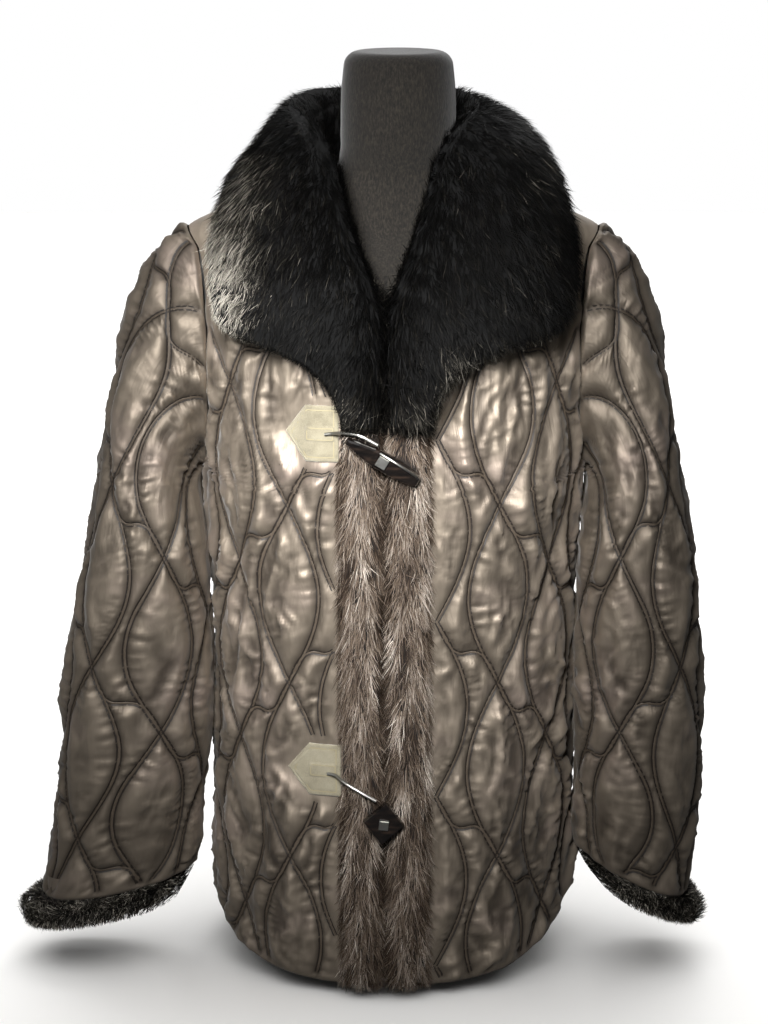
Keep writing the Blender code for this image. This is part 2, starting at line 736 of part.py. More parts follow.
def make_back():
    half = body_outline(False, 1, 0.0)
    other = body_outline(False, -1, 0.0)
    outline = half + [(0.0, BACK_NECK_MIDDLE)] + [(-s, z) for s, z in reversed(other[1:])]
    right, crests = quilting(BODY_NODE, -1, *BODY_SPAN)
    lines = right + [[(-s, t) for s, t in line] for line in right]
    crests = crests + [(-s, t) for s, t in crests]
    keep = keep_runs(lines, lambda points: np.abs(points[:, 0]) > 8 * MM)
    crests = [point for point in crests if abs(point[0]) > 8 * MM]

    def place(flat, lift):
        flat = np.array(flat)
        flat[:, 0] += np.where(np.abs(flat[:, 0]) < 1e-9, 1e-7, 0.0)
        return torso_place(flat, 1, False, lift)

    right_side = [line for line in keep if line[0][0] > 0]
    left_side = [line for line in keep if line[0][0] < 0]
    plain = [under_collar(False)]
    shoulder = shoulder_points(False, (-1, 1))
    Panel("back", outline, right_side + left_side, crests, place, plain=plain, shoulder=shoulder)


# ---- sleeves -----------------------------------------------------------------------------------
def folded(turn):
    """0 at the shoulder tip, where sleeve and body run on, and 1 where they meet in a fold."""
    u = np.clip(np.abs(np.sin(np.asarray(turn) / 2)) / FOLD_REACH, 0.0, 1.0)
    return u * u * (3 - 2 * u)


class Sleeve:
    """A sleeve's inner face; s runs round from the outer side to the front, t is height."""

    def __init__(self, word):
        self.word = word
        self.side = -1 if word == "right" else 1
        self.table = SLEEVES[word]
        self.end, self.tilt = SLEEVE_END[word]
        turns = np.linspace(0.0, 2 * math.pi, SLEEVE_TURNS)
        start = self.start_points(turns)
        finish = self.tube_points(turns, np.full(SLEEVE_TURNS, SLEEVE_TOP))
        self.turns = turns
        self.cap = np.linalg.norm(finish - start, axis=1) * CAP_SLACK

    def cap_length(self, turn):
        return np.interp(turn % (2 * math.pi), self.turns, self.cap)

    def start_points(self, turn):
        points = []
        for angle in turn:
            front = angle <= math.pi
            around = angle if front else 2 * math.pi - angle
            s, z = armhole(around, front)
            flat = np.array([(s + SEAM_GAP / 2, z)])
            points.append(torso_place(flat, self.side, front, np.zeros(1))[0])
        points = np.array(points)
        points[:, 0] += self.side * TIP_GAP * np.maximum(np.cos(turn), 0.0)
        return points + torso_outward(points)[0] * (SLEEVE_LIFT * folded(turn))[:, None]

    def tube_points(self, turn, height):
        outer = read_column(self.table, 1, height) * MM
        inner = read_column(self.table, 2, height) * MM
        middle_y = read_column(self.table, 3, height) * MM
        half_y = read_column(self.table, 4, height) * MM
        fade = np.clip(1 - (height - self.end) / TILT_FADE, 0.0, 1.0)
        power = 2 / SLEEVE_SHAPE
        across = np.sign(np.cos(turn)) * np.abs(np.cos(turn)) ** power
        deep = np.sign(np.sin(turn)) * np.abs(np.sin(turn)) ** power
        x = self.side * ((outer + inner) / 2 + (outer - inner) / 2 * across)
        z = height - self.tilt * across * fade**2
        return np.stack([x, middle_y - half_y * deep, z], axis=1)

    def surface(self, flat):
        """Inner-face points for flat points (s, t)."""
        turn = (2 * math.pi * flat[:, 0] / SLEEVE_ROUND) % (2 * math.pi)
        t = flat[:, 1]
        points = self.tube_points(turn, np.minimum(t, SLEEVE_TOP))
        upper = t > SLEEVE_TOP + 1e-7
        if upper.any():
            points[upper] = self.cap_points(turn[upper], t[upper])
        return points

    def cap_points(self, turn, t):
        start = self.start_points(turn)
        finish = self.tube_points(turn, np.full(len(turn), SLEEVE_TOP))
        below = self.tube_points(turn, np.full(len(turn), SLEEVE_TOP - TUBE_PROBE))
        down = (below - finish) / np.linalg.norm(below - finish, axis=1, keepdims=True)
        top = (1 + np.cos(turn)) / 2
        out = np.stack([
            np.full(len(turn), self.side * 1.0),
            CAP_OUT[0] * np.sin(turn),
            CAP_OUT[1] + CAP_OUT[2] * (1 - top),
        ], axis=1)
        out /= np.linalg.norm(out, axis=1, keepdims=True)
        span = self.cap_length(turn)
        w = np.clip(1 - (t - SLEEVE_TOP) / span, 0.0, 1.0)[:, None]
        pull_out = (span * (CAP_PULLS[0] - CAP_PULLS[1] * top))[:, None]
        pull_down = (span * CAP_PULLS[2])[:, None]
        return (
            (2 * w**3 - 3 * w**2 + 1) * start
            + (w**3 - 2 * w**2 + w) * out * pull_out
            + (3 * w**2 - 2 * w**3) * finish
            + (w**3 - w**2) * down * pull_down
        )

    def outward(self, flat):
        """Unit normals of the inner face, turned away from the sleeve's hollow."""
        step = 1.5 * MM
        turn = 2 * math.pi * flat[:, 0] / SLEEVE_ROUND
        top = SLEEVE_TOP + self.cap_length(turn)
        around_a = np.array(flat)
        around_b = np.array(flat)
        around_a[:, 0] -= step
        around_b[:, 0] += step
        share = np.clip((flat[:, 1] - SLEEVE_TOP) / (top - SLEEVE_TOP), 0.0, 1.0)
        for moved in (around_a, around_b):
            reach = SLEEVE_TOP + self.cap_length(2 * math.pi * moved[:, 0] / SLEEVE_ROUND)
            lifted = SLEEVE_TOP + share * (reach - SLEEVE_TOP)
            moved[:, 1] = np.where(share > 0, lifted, moved[:, 1])
        up = np.array(flat)
        down = np.array(flat)
        up[:, 1] = np.minimum(flat[:, 1] + step, top)
        down[:, 1] = flat[:, 1] - step
        round_way = self.surface(around_b) - self.surface(around_a)
        up_way = self.surface(up) - self.surface(down)
        normal = np.cross(round_way, up_way)
        normal /= np.linalg.norm(normal, axis=1, keepdims=True)
        return -normal * self.side

    def place(self, flat, lift):
        flat = np.array(flat, dtype=float)
        points = self.surface(flat)
        normal = self.outward(flat)
        turn = 2 * math.pi * flat[:, 0] / SLEEVE_ROUND
        top = SLEEVE_TOP + self.cap_length(turn)
        at_seam = flat[:, 1] > top - 1e-6
        if at_seam.any():
            share = folded(turn[at_seam])[:, None]
            normal[at_seam] = (1 - share) * torso_outward(points[at_seam])[0] + share * normal[at_seam]
        return points + normal * np.asarray(lift)[:, None]


def make_sleeve(word):
    sleeve = Sleeve(word)
    half = SLEEVE_ROUND / 2
    around = 2 * ARMHOLE_STEPS
    ends = [(-half + SLEEVE_ROUND * i / around, sleeve.end) for i in range(around)]
    seam_steps = math.ceil((SLEEVE_TOP - sleeve.end) / STEP)
    rise = [(SLEEVE_TOP - sleeve.end) * i / seam_steps for i in range(seam_steps)]
    right_edge = [(half, sleeve.end + up) for up in rise] + [(half, SLEEVE_TOP)]
    crown = []
    for i in range(around + 1):
        s = half - SLEEVE_ROUND * i / around
        turn = np.array([2 * math.pi * s / SLEEVE_ROUND])
        crown.append((s, SLEEVE_TOP + float(sleeve.cap_length(turn)[0])))
    left_edge = [(-s, t) for s, t in reversed(right_edge[1:])]
    outline = ends + right_edge + crown + left_edge
    first_joined = range(len(ends), len(ends) + len(right_edge) + 1)
    last_joined = range(len(outline) - len(left_edge) - 1, len(outline) + 1)
    joined = [set(first_joined), set(last_joined) | {0}]
    lines, crests = quilting(SLEEVE_NODE, -1, (-half, half), (0.0, 800 * MM))
    Panel("sleeve_" + word, outline, lines, crests, sleeve.place, joined=joined)
    make_cuff(sleeve)


def make_cuff(sleeve):
    """Fur band below the sleeve's end, open at the bottom."""
    rings = []
    turns = [2 * math.pi * i / CUFF_SIDES for i in range(CUFF_SIDES)]
    s = np.array(turns) * SLEEVE_ROUND / (2 * math.pi)
    outer_side = (1 + np.cos(turns)) / 2
    profile = [(down, depth * MM) for down, depth in CUFF_PROFILE]
    profile += [(down, 0.0) for down in (1.0, 0.5, 0.0)]
    for down, depth in profile:
        t = sleeve.end - SEAM_GAP - 0.3 * MM - down * CUFF_HEIGHT
        flat = np.stack([s, np.full(CUFF_SIDES, t)], axis=1)
        rings.append(sleeve.place(flat, depth * (CUFF_INNER + (1 - CUFF_INNER) * outer_side)))
    faces = []
    for ring in range(len(rings)):
        after = (ring + 1) % len(rings)
        for i in range(CUFF_SIDES):
            j = (i + 1) % CUFF_SIDES
            faces.append((
                ring * CUFF_SIDES + i, ring * CUFF_SIDES + j,
                after * CUFF_SIDES + j, after * CUFF_SIDES + i,
            ))
    add_object("cuff_" + sleeve.word, np.concatenate(rings), faces, "dark fur")


# ---- collar ------------------------------------------------------------------------------------
def through(points, count):
    """Evenly numbered points on a smooth curve through a few given ones."""
    points = np.array(points, dtype=float)
    knots = np.arange(len(points), dtype=float)
    slopes = np.gradient(points, axis=0)
    at = np.linspace(0.0, len(points) - 1, count)
    place = np.clip(at.astype(int), 0, len(points) - 2)
    u = (at - knots[place])[:, None]
    start = (2 * u**3 - 3 * u**2 + 1) * points[place] + (u**3 - 2 * u**2 + u) * slopes[place]
    end = (3 * u**2 - 2 * u**3) * points[place + 1] + (u**3 - u**2) * slopes[place + 1]
    return start + end


def clear_of_torso(points, distance, seated=False):
    """Points moved along the torso's normal until they clear it, or lie just that far off it."""
    points = np.array(points)
    for _ in range(5):
        normal, depth = torso_outward(points)
        move = distance - depth
        points += normal * (move if seated else np.maximum(move, 0.0))[:, None]
    return points


def collar_half(side):
    """Cross-sections of one half of the collar, from the middle of the back to the front."""
    rows = [[row[0]] + [value for point in row[1:] for value in point] for row in COLLAR]
    rows = through(rows, COLLAR_STATIONS)
    wide = LEFT_COLLAR if side > 0 else 1.0
    spines = []
    for index, row in enumerate(rows):
        spine = through(row[1:].reshape(5, 3) * MM, COLLAR_SPINE)
        station = index * (len(COLLAR) - 1) / (COLLAR_STATIONS - 1)
        shift = CLOSING_X * min(1.0, station / COLLAR_CLOSES) ** 2
        fade = np.clip((LEAN_STATIONS[1] - station) / (LEAN_STATIONS[1] - LEAN_STATIONS[0]), 0.0, 1.0)
        lean = through(np.array(COLLAR_LEAN)[:, None] * MM, COLLAR_SPINE)[:, 0] * fade
        spine[:, 0] = spine[:, 0] * side * wide + shift + lean
        spines.append(spine)
    spines = np.array(spines)
    return spines, rows[:, 0] * MM


def make_collar():
    right, thick = collar_half(-1)
    left, _ = collar_half(1)
    spines = np.concatenate([right[::-1], left[1:]])
    thick = np.concatenate([thick[::-1], thick[1:]])
    sweep = np.gradient(spines, axis=0)
    rings = []
    for spine, way, half in zip(spines, sweep, thick):
        along = np.gradient(spine, axis=0)
        along /= np.linalg.norm(along, axis=1, keepdims=True)
        normal = np.cross(along, way)
        normal /= np.linalg.norm(normal, axis=1, keepdims=True)
        share = np.linspace(0.0, 1.0, COLLAR_SPINE)
        first, reach, roundness = FUR_SWELL
        swell = np.sin(math.pi * (first + reach * share)) ** roundness
        depth = half * (FUR_EDGE + (1 - FUR_EDGE) * swell)
        outer = spine + normal * depth[:, None]
        under = spine - normal * depth[:, None]
        rise = np.clip(share * COLLAR_LIFTS, 0.0, 1.0)
        under = clear_of_torso(under, COLLAR_SEAM_CLEAR + (COLLAR_CLEAR - COLLAR_SEAM_CLEAR) * rise)
        under[:1] = clear_of_torso(under[:1], COLLAR_SEAM_CLEAR, seated=True)
        tip = spine[-1] + along[-1] * depth[-1] * COLLAR_TIP
        rings.append(np.concatenate([outer, [tip], under[::-1]]))
    faces = ring_faces(len(rings), len(rings[0]))
    add_object("collar", np.concatenate(rings), faces, "dark fur")


# ---- toggles -----------------------------------------------------------------------------------
def make_block(name, outline, thick, centre, tilt, material, bevel):
    """A flat shape in the front plane, given by its outline, with rounded edges."""
    points = []
    for depth in (-thick / 2, thick / 2):
        for x, z in outline:
            turned_x = x * math.cos(tilt) + z * math.sin(tilt)
            turned_z = -x * math.sin(tilt) + z * math.cos(tilt)
            points.append((centre[0] + turned_x, centre[1] + depth, centre[2] + turned_z))
    count = len(outline)
    faces = [tuple(range(count)), tuple(range(2 * count - 1, count - 1, -1))]
    for i in range(count):
        j = (i + 1) % count
        faces.append((i, i + count, j + count, j))
    mesh = bpy.data.meshes.new(name)
    mesh.from_pydata(points, [], faces)
    body = bmesh.new()
    body.from_mesh(mesh)
    bmesh.ops.recalc_face_normals(body, faces=body.faces)
    rims = [edge for edge in body.edges if abs(edge.verts[0].co.y - edge.verts[1].co.y) < 1e-6]
    bmesh.ops.bevel(body, geom=rims, offset=bevel, segments=2, profile=0.5, affect="EDGES")
    bmesh.ops.triangulate(body, faces=body.faces)
    body.to_mesh(mesh)
    body.free()
    mesh.shade_smooth()
    mesh.set_sharp_from_angle(angle=math.radians(40))
    mesh.materials.append(make_material(material))
    thing = bpy.data.objects.new(name, mesh)
    bpy.context.scene.collection.objects.link(thing)


def make_cord(name, route):
    """A short round cord from a tab to its toggle."""
    middle = through(np.array(route) * MM, CORD_RINGS)
    along = np.gradient(middle, axis=0)
    along /= np.linalg.norm(along, axis=1, keepdims=True)
    aside = np.cross(along, (0.0, -1.0, 0.0))
    aside /= np.linalg.norm(aside, axis=1, keepdims=True)
    across = np.cross(along, aside)
    points = []
    for i in range(CORD_RINGS):
        for k in range(CORD_SIDES):
            turn = 2 * math.pi * k / CORD_SIDES
            points.append(middle[i] + CORD * (math.cos(turn) * aside[i] + math.sin(turn) * across[i]))
    faces = ring_faces(CORD_RINGS, CORD_SIDES)
    add_object(name, points, faces, "grey cord")


def make_toggles():
    half = TOGGLE_LENGTH / 2
    upper_edge = [(share * half, width * TOGGLE_WIDTH / 2) for share, width in TOGGLE_SHAPE]
    outline = upper_edge + [(x, -z) for x, z in reversed(upper_edge)]
    make_block("toggle_upper", outline, TOGGLE_THICK, UPPER_TOGGLE, UPPER_TILT, "dark horn", TOGGLE_BEVEL)
    wide = LOWER_SIZE * LOWER_SLIM
    diamond = [(wide, 0.0), (0.0, LOWER_SIZE), (-wide, 0.0), (0.0, -LOWER_SIZE)]
    make_block("toggle_lower", diamond, TOGGLE_THICK, LOWER_TOGGLE, LOWER_TILT, "dark horn", TOGGLE_BEVEL)
    make_stud("stud_upper", UPPER_STUD, UPPER_TOGGLE, UPPER_TILT)
    make_stud("stud_lower", LOWER_STUD, LOWER_TOGGLE, LOWER_TILT)
    for word, route in CORDS.items():
        make_cord("cord_" + word, route)


def make_stud(name, size, toggle, tilt):
    """A square metal plate on the face of a toggle."""
    middle = (toggle[0], toggle[1] - TOGGLE_THICK / 2 - LAY_GAP - STUD_THICK / 2, toggle[2])
    half = size / 2
    plate = [(half, half), (-half, half), (-half, -half), (half, -half)]
    make_block(name, plate, STUD_THICK, middle, tilt, "grey metal", STUD_BEVEL)


# ---- dress form --------------------------------------------------------------------------------
def make_form():
    levels = [(height * MM, 0.0) for height in FORM_HEIGHTS]
    for angle in np.linspace(0.0, math.pi / 2, FORM_RIM_STEPS):
        levels.append((FORM_TOP - FORM_RIM * (1 - math.sin(angle)), FORM_RIM * (1 - math.cos(angle))))
    rings = []
    for height, drawn_in in levels:
        z = np.array([height])
        inset = float(read_column(FORM_INSET, 1, z)[0]) * MM + drawn_in
        lean = NECK_LEAN * min(1.0, max(0.0, (height - NECK_LEAN_FROM) / NECK_LEAN_OVER))
        ring = []
        for i in range(FORM_SIDES):
            turn = 2 * math.pi * i / FORM_SIDES
            width, depth, power = (float(value[0]) for value in torso_size(z, math.sin(turn) > 0))
            bend = 2 / power
            across = math.copysign(abs(math.cos(turn)) ** bend, math.cos(turn))
            deep = math.copysign(abs(math.sin(turn)) ** bend, math.sin(turn))
            ring.append((lean + (width - inset) * across, -(depth - inset) * deep, height))
        rings.append(ring)
    points = [point for ring in rings for point in ring]
    add_object("dress_form", points, ring_faces(len(rings), FORM_SIDES), "grey jersey")


clear_scene()
make_front("front_right", -1, RIGHT_START)
make_front("front_left", 1, LEFT_START)
make_back()
make_sleeve("right")
make_sleeve("left")
make_collar()
make_toggles()
make_form()
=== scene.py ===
"""Looks of the quilted jacket: leaf-quilted satin, fur of single hairs, suede tabs and a jersey form."""

import math

import bmesh
import bpy
import numpy as np
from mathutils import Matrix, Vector, bvhtree, kdtree


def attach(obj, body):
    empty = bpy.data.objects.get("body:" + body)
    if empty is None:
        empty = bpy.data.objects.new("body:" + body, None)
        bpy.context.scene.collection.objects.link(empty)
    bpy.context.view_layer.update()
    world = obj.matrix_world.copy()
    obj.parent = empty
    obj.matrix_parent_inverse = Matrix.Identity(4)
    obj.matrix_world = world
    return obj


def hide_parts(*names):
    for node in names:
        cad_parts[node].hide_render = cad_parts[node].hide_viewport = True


MM = 0.001

# ---- the cloth's own sizes, the same as in the part --------------------------------------------
CLOTH = 2.2 * MM            # thickness at a stitch line
PUFF = 6.0 * MM             # the padding's height, and how far from a line it is reached
PUFF_REACH = 19 * MM
SEAM_GAP = 0.35 * MM
CLEAR_OF_SEAM = 7 * MM      # the quilting stops this far from a seam
LEAF_HALF = 29 * MM         # half the width of one quilted leaf, and its length
LEAF_LENGTH = 170 * MM
COLUMN = 58 * MM            # from one column of leaves to the next
SHEAR = 0.375               # each column starts this share of a leaf lower than the last
BODY_NODE = (97 * MM, 136 * MM)         # flat point where a leaf begins
SLEEVE_NODE = (110 * MM, 80 * MM)
TORSO = [
    # height, half width, front, back (mm), roundness
    (-10, 168, 134, 119, 2.3),
    (60, 169, 134, 118, 2.3),
    (200, 168, 131, 113, 2.3),
    (330, 166, 127, 106, 2.3),
    (430, 169, 128, 105, 2.3),
    (490, 173, 128, 107, 2.3),
    (550, 177, 124, 109, 2.3),
    (610, 182, 113, 108, 2.25),
    (665, 187, 93, 98, 2.15),
    (695, 189, 73, 83, 2.05),
    (710, 188, 60, 70, 2.0),
    (725, 158, 53, 63, 2.0),
    (739, 123, 49, 58, 2.0),
    (752, 90, 46, 54, 2.0),
    (763, 65, 44, 50, 2.0),
    (780, 54, 45, 48, 2.0),
    (800, 51, 46, 48, 2.0),
    (846, 49.5, 46, 47, 2.0),
    (880, 48, 45, 46, 2.0),
]
ARMPIT = 490 * MM
SHOULDER_TIP = 710 * MM
NECK_POINT = 763 * MM
ARMHOLE_BITE = 56 * MM
CLOSING_X = -8 * MM
FRONT_GAP = 6 * MM
FRONT_NECK = [(763, 86), (755, 73), (745, 62), (718, 46), (684, 29), (655, 17), (638, 11)]
BACK_NECK = [(763, 86), (759, 60), (757, 30), (756.5, 0)]
HEM_FRONT = 10 * MM
HEM_BACK = 16 * MM
HEM_SIDE = {-1: 68 * MM, 1: 99 * MM}
HEM_CURVE = 2.9
HEM_FADE = 260 * MM         # the rows of the cloth even out above the curved hem
STRIP_WIDTH = 36 * MM
STRIP_TOP = 551 * MM
COVERED_FRONT = 662 * MM    # the shells are sewn plain above these heights, under the collar
COVERED_BACK = 690 * MM
NECK_DROP = 720 * MM        # the back's rows bend down to its neck above this height
TAB_POINT = 98 * MM
TAB_SHOULDER = 78 * MM
TAB_HALF = 25 * MM
TAB_SLANT = 1.28            # length of the point's slanting edge for each step up it
LAY_GAP = 0.4 * MM
TAB_HEIGHTS = {"upper": 545 * MM, "lower": 225 * MM}
RIGHT_START = FRONT_GAP / 2 - CLOSING_X
LEFT_START = FRONT_GAP / 2 + CLOSING_X
TAB_EDGE = RIGHT_START + STRIP_WIDTH + 1.2 * MM
FRONT_FOLDS = [
    # s, top, foot, half width, height (mm)
    (66, 660, 420, 17, 4),
    (98, 650, 440, 15, -3),
    (128, 660, 330, 18, 5),
    (160, 600, 300, 18, -4),
    (188, 480, 90, 20, 4),
    (150, 240, 10, 22, -4),
    (108, 260, 10, 20, 4),
]
SLEEVES = {
    # height, outer x, inner x, middle y, half depth (mm)
    "right": [
        (40, 362, 222, -46, 43),
        (92, 333, 196, -47, 44),
        (160, 321, 190, -48, 47),
        (228, 311, 180, -49, 51),
        (294, 304, 178, -48, 54),
        (360, 293, 178, -45, 57),
        (424, 281, 181, -37, 61),
        (470, 273, 187, -25, 65),
    ],
    "left": [
        (40, 300, 222, -46, 47),
        (92, 281, 183, -47, 51),
        (160, 288, 181, -48, 53),
        (228, 288, 179, -48, 54),
        (294, 285, 178, -47, 56),
        (360, 281, 178, -44, 58),
        (424, 275, 181, -36, 61),
        (470, 266, 187, -25, 65),
    ],
}
SLEEVE_TOP = 470 * MM
SLEEVE_ROUND = 355 * MM
SLEEVE_END = {"right": (82 * MM, 17 * MM), "left": (96 * MM, 27 * MM)}
TILT_FADE = 260 * MM
TIP_GAP = 0.9 * MM
SLEEVE_LIFT = 4.2 * MM
TURNS = 361                 # steps that the armhole is worked out at
UPPER_TOGGLE = (-10 * MM, -149.2 * MM, 527 * MM)
UPPER_TILT = math.radians(31)
TOGGLE_THICK = 10 * MM
ROD_ENDS = ((-6, 6.4), (33, 5.0))    # x and z on the toggle (mm)
ROD_RADIUS = 1.2 * MM
ROD_SIDES = 14
ROD_NOSE = 0.35             # its ends narrow to this share, over this share of its radius
FORM_INSET = [
    (0, 30), (60, 22), (200, 15), (500, 12), (640, 10), (690, 9), (712, 9),
    (739, 8.5), (752, 8.6), (763, 7.2), (775, 3.5), (790, 0), (880, 0),
]
FORM_TOP = 871 * MM
NECK_LEAN = 4.5 * MM
NECK_LEAN_FROM = 735 * MM
NECK_LEAN_OVER = 70 * MM
FORM_RIM = 12 * MM
FORM_LID = (6, 14, 22, 30)  # rings across the flat top, in from its rim (mm)

# ---- how finely the cloth is made --------------------------------------------------------------
GRID = 2.6 * MM
PANEL_REACH = 225 * MM      # width that a front panel's columns are counted over
QUILTED = (-20 * MM, 300 * MM), (0.0, 800 * MM)     # the flat area that quilting lines are drawn on
CHANNEL = 1.3 * MM          # half width of the sewn-flat channel
CHANNEL_SHADE = 4.3 * MM
HOLLOW = 2.5 * MM           # a hollow this deep is fully shaded
HOLLOW_SHADE = 0.75
PUCKER = 1.7 * MM           # the cloth gathers beside each quilting line
SEARCH_STEP = 0.9 * MM      # how finely the lines are searched for the nearest one
STITCH_STEP = 6.0 * MM
STITCH_HALF = 0.6 * MM
STITCH_APART = 3.2 * MM     # each line is sewn twice
STITCH_PROUD = 0.35 * MM    # a stitch stands off the cloth and goes down into it at its ends
WELT_HALF = 1.15 * MM       # the cloth stands up between the two rows
WELT_RISE = 1.0 * MM
WELT_STEP = 3.4 * MM
WELT_TAPER = 8 * MM
WELT_SUNK = 0.2 * MM        # its edges lie just under the cloth's face
TURNED_HEM = [(0.5 * MM, 1.2 * MM), (3 * MM, 0.1 * MM), (22 * MM, 0.0)]      # up and out
EDGE_ROLL = 9 * MM          # the cloth rounds down to its seams

CRUMPLES = ((46, 6.6), (28, 4.8), (17, 2.8), (11, 1.2))      # size and height of ridges (mm)
BODY_TILTS = ((-0.25, 0.9), (0.2, 0.9), (1.3, 0.25))        # turn from straight down, and share
SLEEVE_TILTS = ((-0.5, 0.4), (0.4, 0.42), (1.3, 0.22))
CREASES_UP = 2.3            # the creases below are laid this many times as high

# soft creases, given one by one: s, height of the middle, half length, half width, rise, lean (mm)
FRONT_CREASES = [
    (60, 560, 95, 6, 1.5, 0.03),
    (78, 590, 80, 7, -1.6, -0.04),
    (92, 540, 105, 6, 1.7, 0.06),
    (112, 575, 90, 7, -1.5, 0.02),
    (124, 520, 120, 8, 1.7, -0.05),
    (141, 560, 95, 6, -1.5, 0.08),
    (152, 500, 80, 7, 1.3, 0.12),
    (74, 430, 60, 8, 1.1, 0.25),
    (118, 400, 70, 9, -1.3, -0.2),
    (165, 380, 90, 8, 1.4, 0.15),
    (95, 330, 65, 10, 1.2, -0.3),
    (140, 290, 75, 9, -1.4, 0.2),
    (185, 300, 80, 9, 1.3, -0.1),
    (70, 180, 60, 8, 1.2, 0.15),
    (120, 150, 70, 10, -1.3, -0.12),
    (170, 170, 75, 9, 1.4, 0.2),
    (90, 70, 45, 8, -1.1, 0.1),
    (205, 120, 60, 9, 1.2, -0.15),
]
BACK_CREASES = [
    (40, 600, 80, 8, 1.4, 0.05),
    (85, 570, 100, 9, -1.5, -0.06),
    (130, 590, 85, 8, 1.4, 0.1),
    (60, 450, 90, 10, 1.3, -0.12),
    (110, 420, 80, 9, -1.3, 0.15),
    (160, 400, 100, 9, 1.4, 0.1),
    (30, 330, 80, 9, -1.2, 0.2),
    (140, 280, 90, 10, 1.3, -0.15),
    (80, 220, 80, 9, 1.2, 0.1),
    (190, 240, 90, 9, -1.3, 0.08),
    (50, 110, 60, 9, 1.2, -0.1),
    (120, 90, 60, 10, -1.2, 0.12),
]
SLEEVE_CREASES = [
    (-120, 560, 60, 9, 1.5, 0.5),
    (-60, 600, 55, 8, -1.4, -0.3),
    (0, 620, 60, 8, 1.4, 0.2),
    (45, 560, 80, 9, 1.6, 0.35),
    (80, 480, 90, 8, -1.7, 0.3),
    (115, 420, 80, 9, 1.6, 0.45),
    (20, 430, 85, 9, -1.3, -0.2),
    (60, 340, 70, 9, 1.5, -0.45),
    (100, 280, 60, 8, -1.4, 0.4),
    (10, 300, 80, 10, 1.2, 0.15),
    (140, 330, 70, 9, 1.4, -0.3),
    (-40, 370, 90, 9, 1.4, 0.25),
    (-90, 300, 80, 9, -1.4, -0.3),
    (-140, 400, 80, 9, 1.3, 0.2),
    (70, 190, 60, 8, 1.3, 0.3),
    (0, 170, 60, 9, -1.2, -0.2),
    (-80, 180, 70, 9, 1.3, 0.25),
    (130, 150, 50, 8, -1.2, 0.2),
]


def lin(code, alpha=1.0):
    """sRGB hex to a linear colour."""
    values = [int(code[i:i + 2], 16) / 255 for i in (1, 3, 5)]
    return tuple(v / 12.92 if v <= 0.04045 else ((v + 0.055) / 1.055) ** 2.4 for v in values) + (alpha,)


def node(tree, kind, settings=(), links=()):
    """Adds a shader node with its inputs, its properties (".name"), its colour stops and its links."""
    made = tree.nodes.new(kind)
    for key, value in dict(settings).items():
        if key == "stops":
            stops = made.color_ramp.elements
            while len(stops) < len(value):
                stops.new(0.5)
            for element, (place, code) in zip(stops, value):
                element.position = place
                element.color = lin(code)
        elif isinstance(key, str) and key.startswith("."):
            setattr(made, key[1:], value)
        else:
            made.inputs[key].default_value = value
    for key, source, output in links:
        tree.links.new(source.outputs[output], made.inputs[key])
    return made


def new_material(name, settings):
    """A Principled material with these inputs, its node tree and its shader."""
    material = bpy.data.materials.new(name)
    material.use_nodes = True
    tree = material.node_tree
    shader = tree.nodes["Principled BSDF"]
    for key, value in settings.items():
        shader.inputs[key].default_value = value
    return material, tree, shader


def per(size):
    """Texture scale, in whole repeats to a metre, of a pattern that repeats every size millimetres."""
    return float(round(1 / (size * MM)))


# ---- smooth curves and the torso form ----------------------------------------------------------
def read_column(table, column, at):
    """One column of a table of sections, as a smooth curve read at these heights."""
    heights = np.array([row[0] for row in table]) * MM
    values = np.array([row[column] for row in table], dtype=float)
    slopes = np.gradient(values, heights)
    place = np.clip(np.searchsorted(heights, at) - 1, 0, len(heights) - 2)
    span = heights[place + 1] - heights[place]
    u = np.clip((at - heights[place]) / span, 0.0, 1.0)
    start = (2 * u**3 - 3 * u**2 + 1) * values[place] + (u**3 - 2 * u**2 + u) * span * slopes[place]
    end = (3 * u**2 - 2 * u**3) * values[place + 1] + (u**3 - u**2) * span * slopes[place + 1]
    return start + end


def torso_slice(z, front):
    """A quarter of the form's outline at each height: half widths, depths and the length so far."""
    width = read_column(TORSO, 1, z) * MM
    depth = read_column(TORSO, 2 if front else 3, z) * MM
    power = read_column(TORSO, 4, z)
    turn = np.linspace(0.0, math.pi / 2, 72)[None, :]
    across = width[:, None] * np.sin(turn) ** (2 / power[:, None])
    deep = depth[:, None] * np.cos(turn) ** (2 / power[:, None])
    run = np.hypot(np.diff(across, axis=1), np.diff(deep, axis=1))
    return across, deep, np.concatenate([np.zeros((len(z), 1)), np.cumsum(run, axis=1)], axis=1)


def torso_reach(z, front):
    """Length of the outline from the middle of the front or back to the side."""
    return torso_slice(np.atleast_1d(z), front)[2][:, -1]


def torso_outward(points):
    """Unit normals of the torso form at points on it."""
    x, y, z = points.T
    nudge = 0.2 * MM

    def level(height):
        width = read_column(TORSO, 1, height) * MM
        depth = np.where(y < 0, read_column(TORSO, 2, height), read_column(TORSO, 3, height)) * MM
        power = read_column(TORSO, 4, height)
        return (np.abs(x) / width) ** power + (np.abs(y) / depth) ** power, width, depth, power

    _, width, depth, power = level(z)
    grow = (level(z + nudge)[0] - level(z - nudge)[0]) / (2 * nudge)
    along_x = power * np.sign(x) * (np.abs(x) / width) ** (power - 1) / width
    along_y = power * np.sign(y) * (np.abs(y) / depth) ** (power - 1) / depth
    normal = np.stack([along_x, along_y, grow], axis=1)
    return normal / np.linalg.norm(normal, axis=1, keepdims=True)


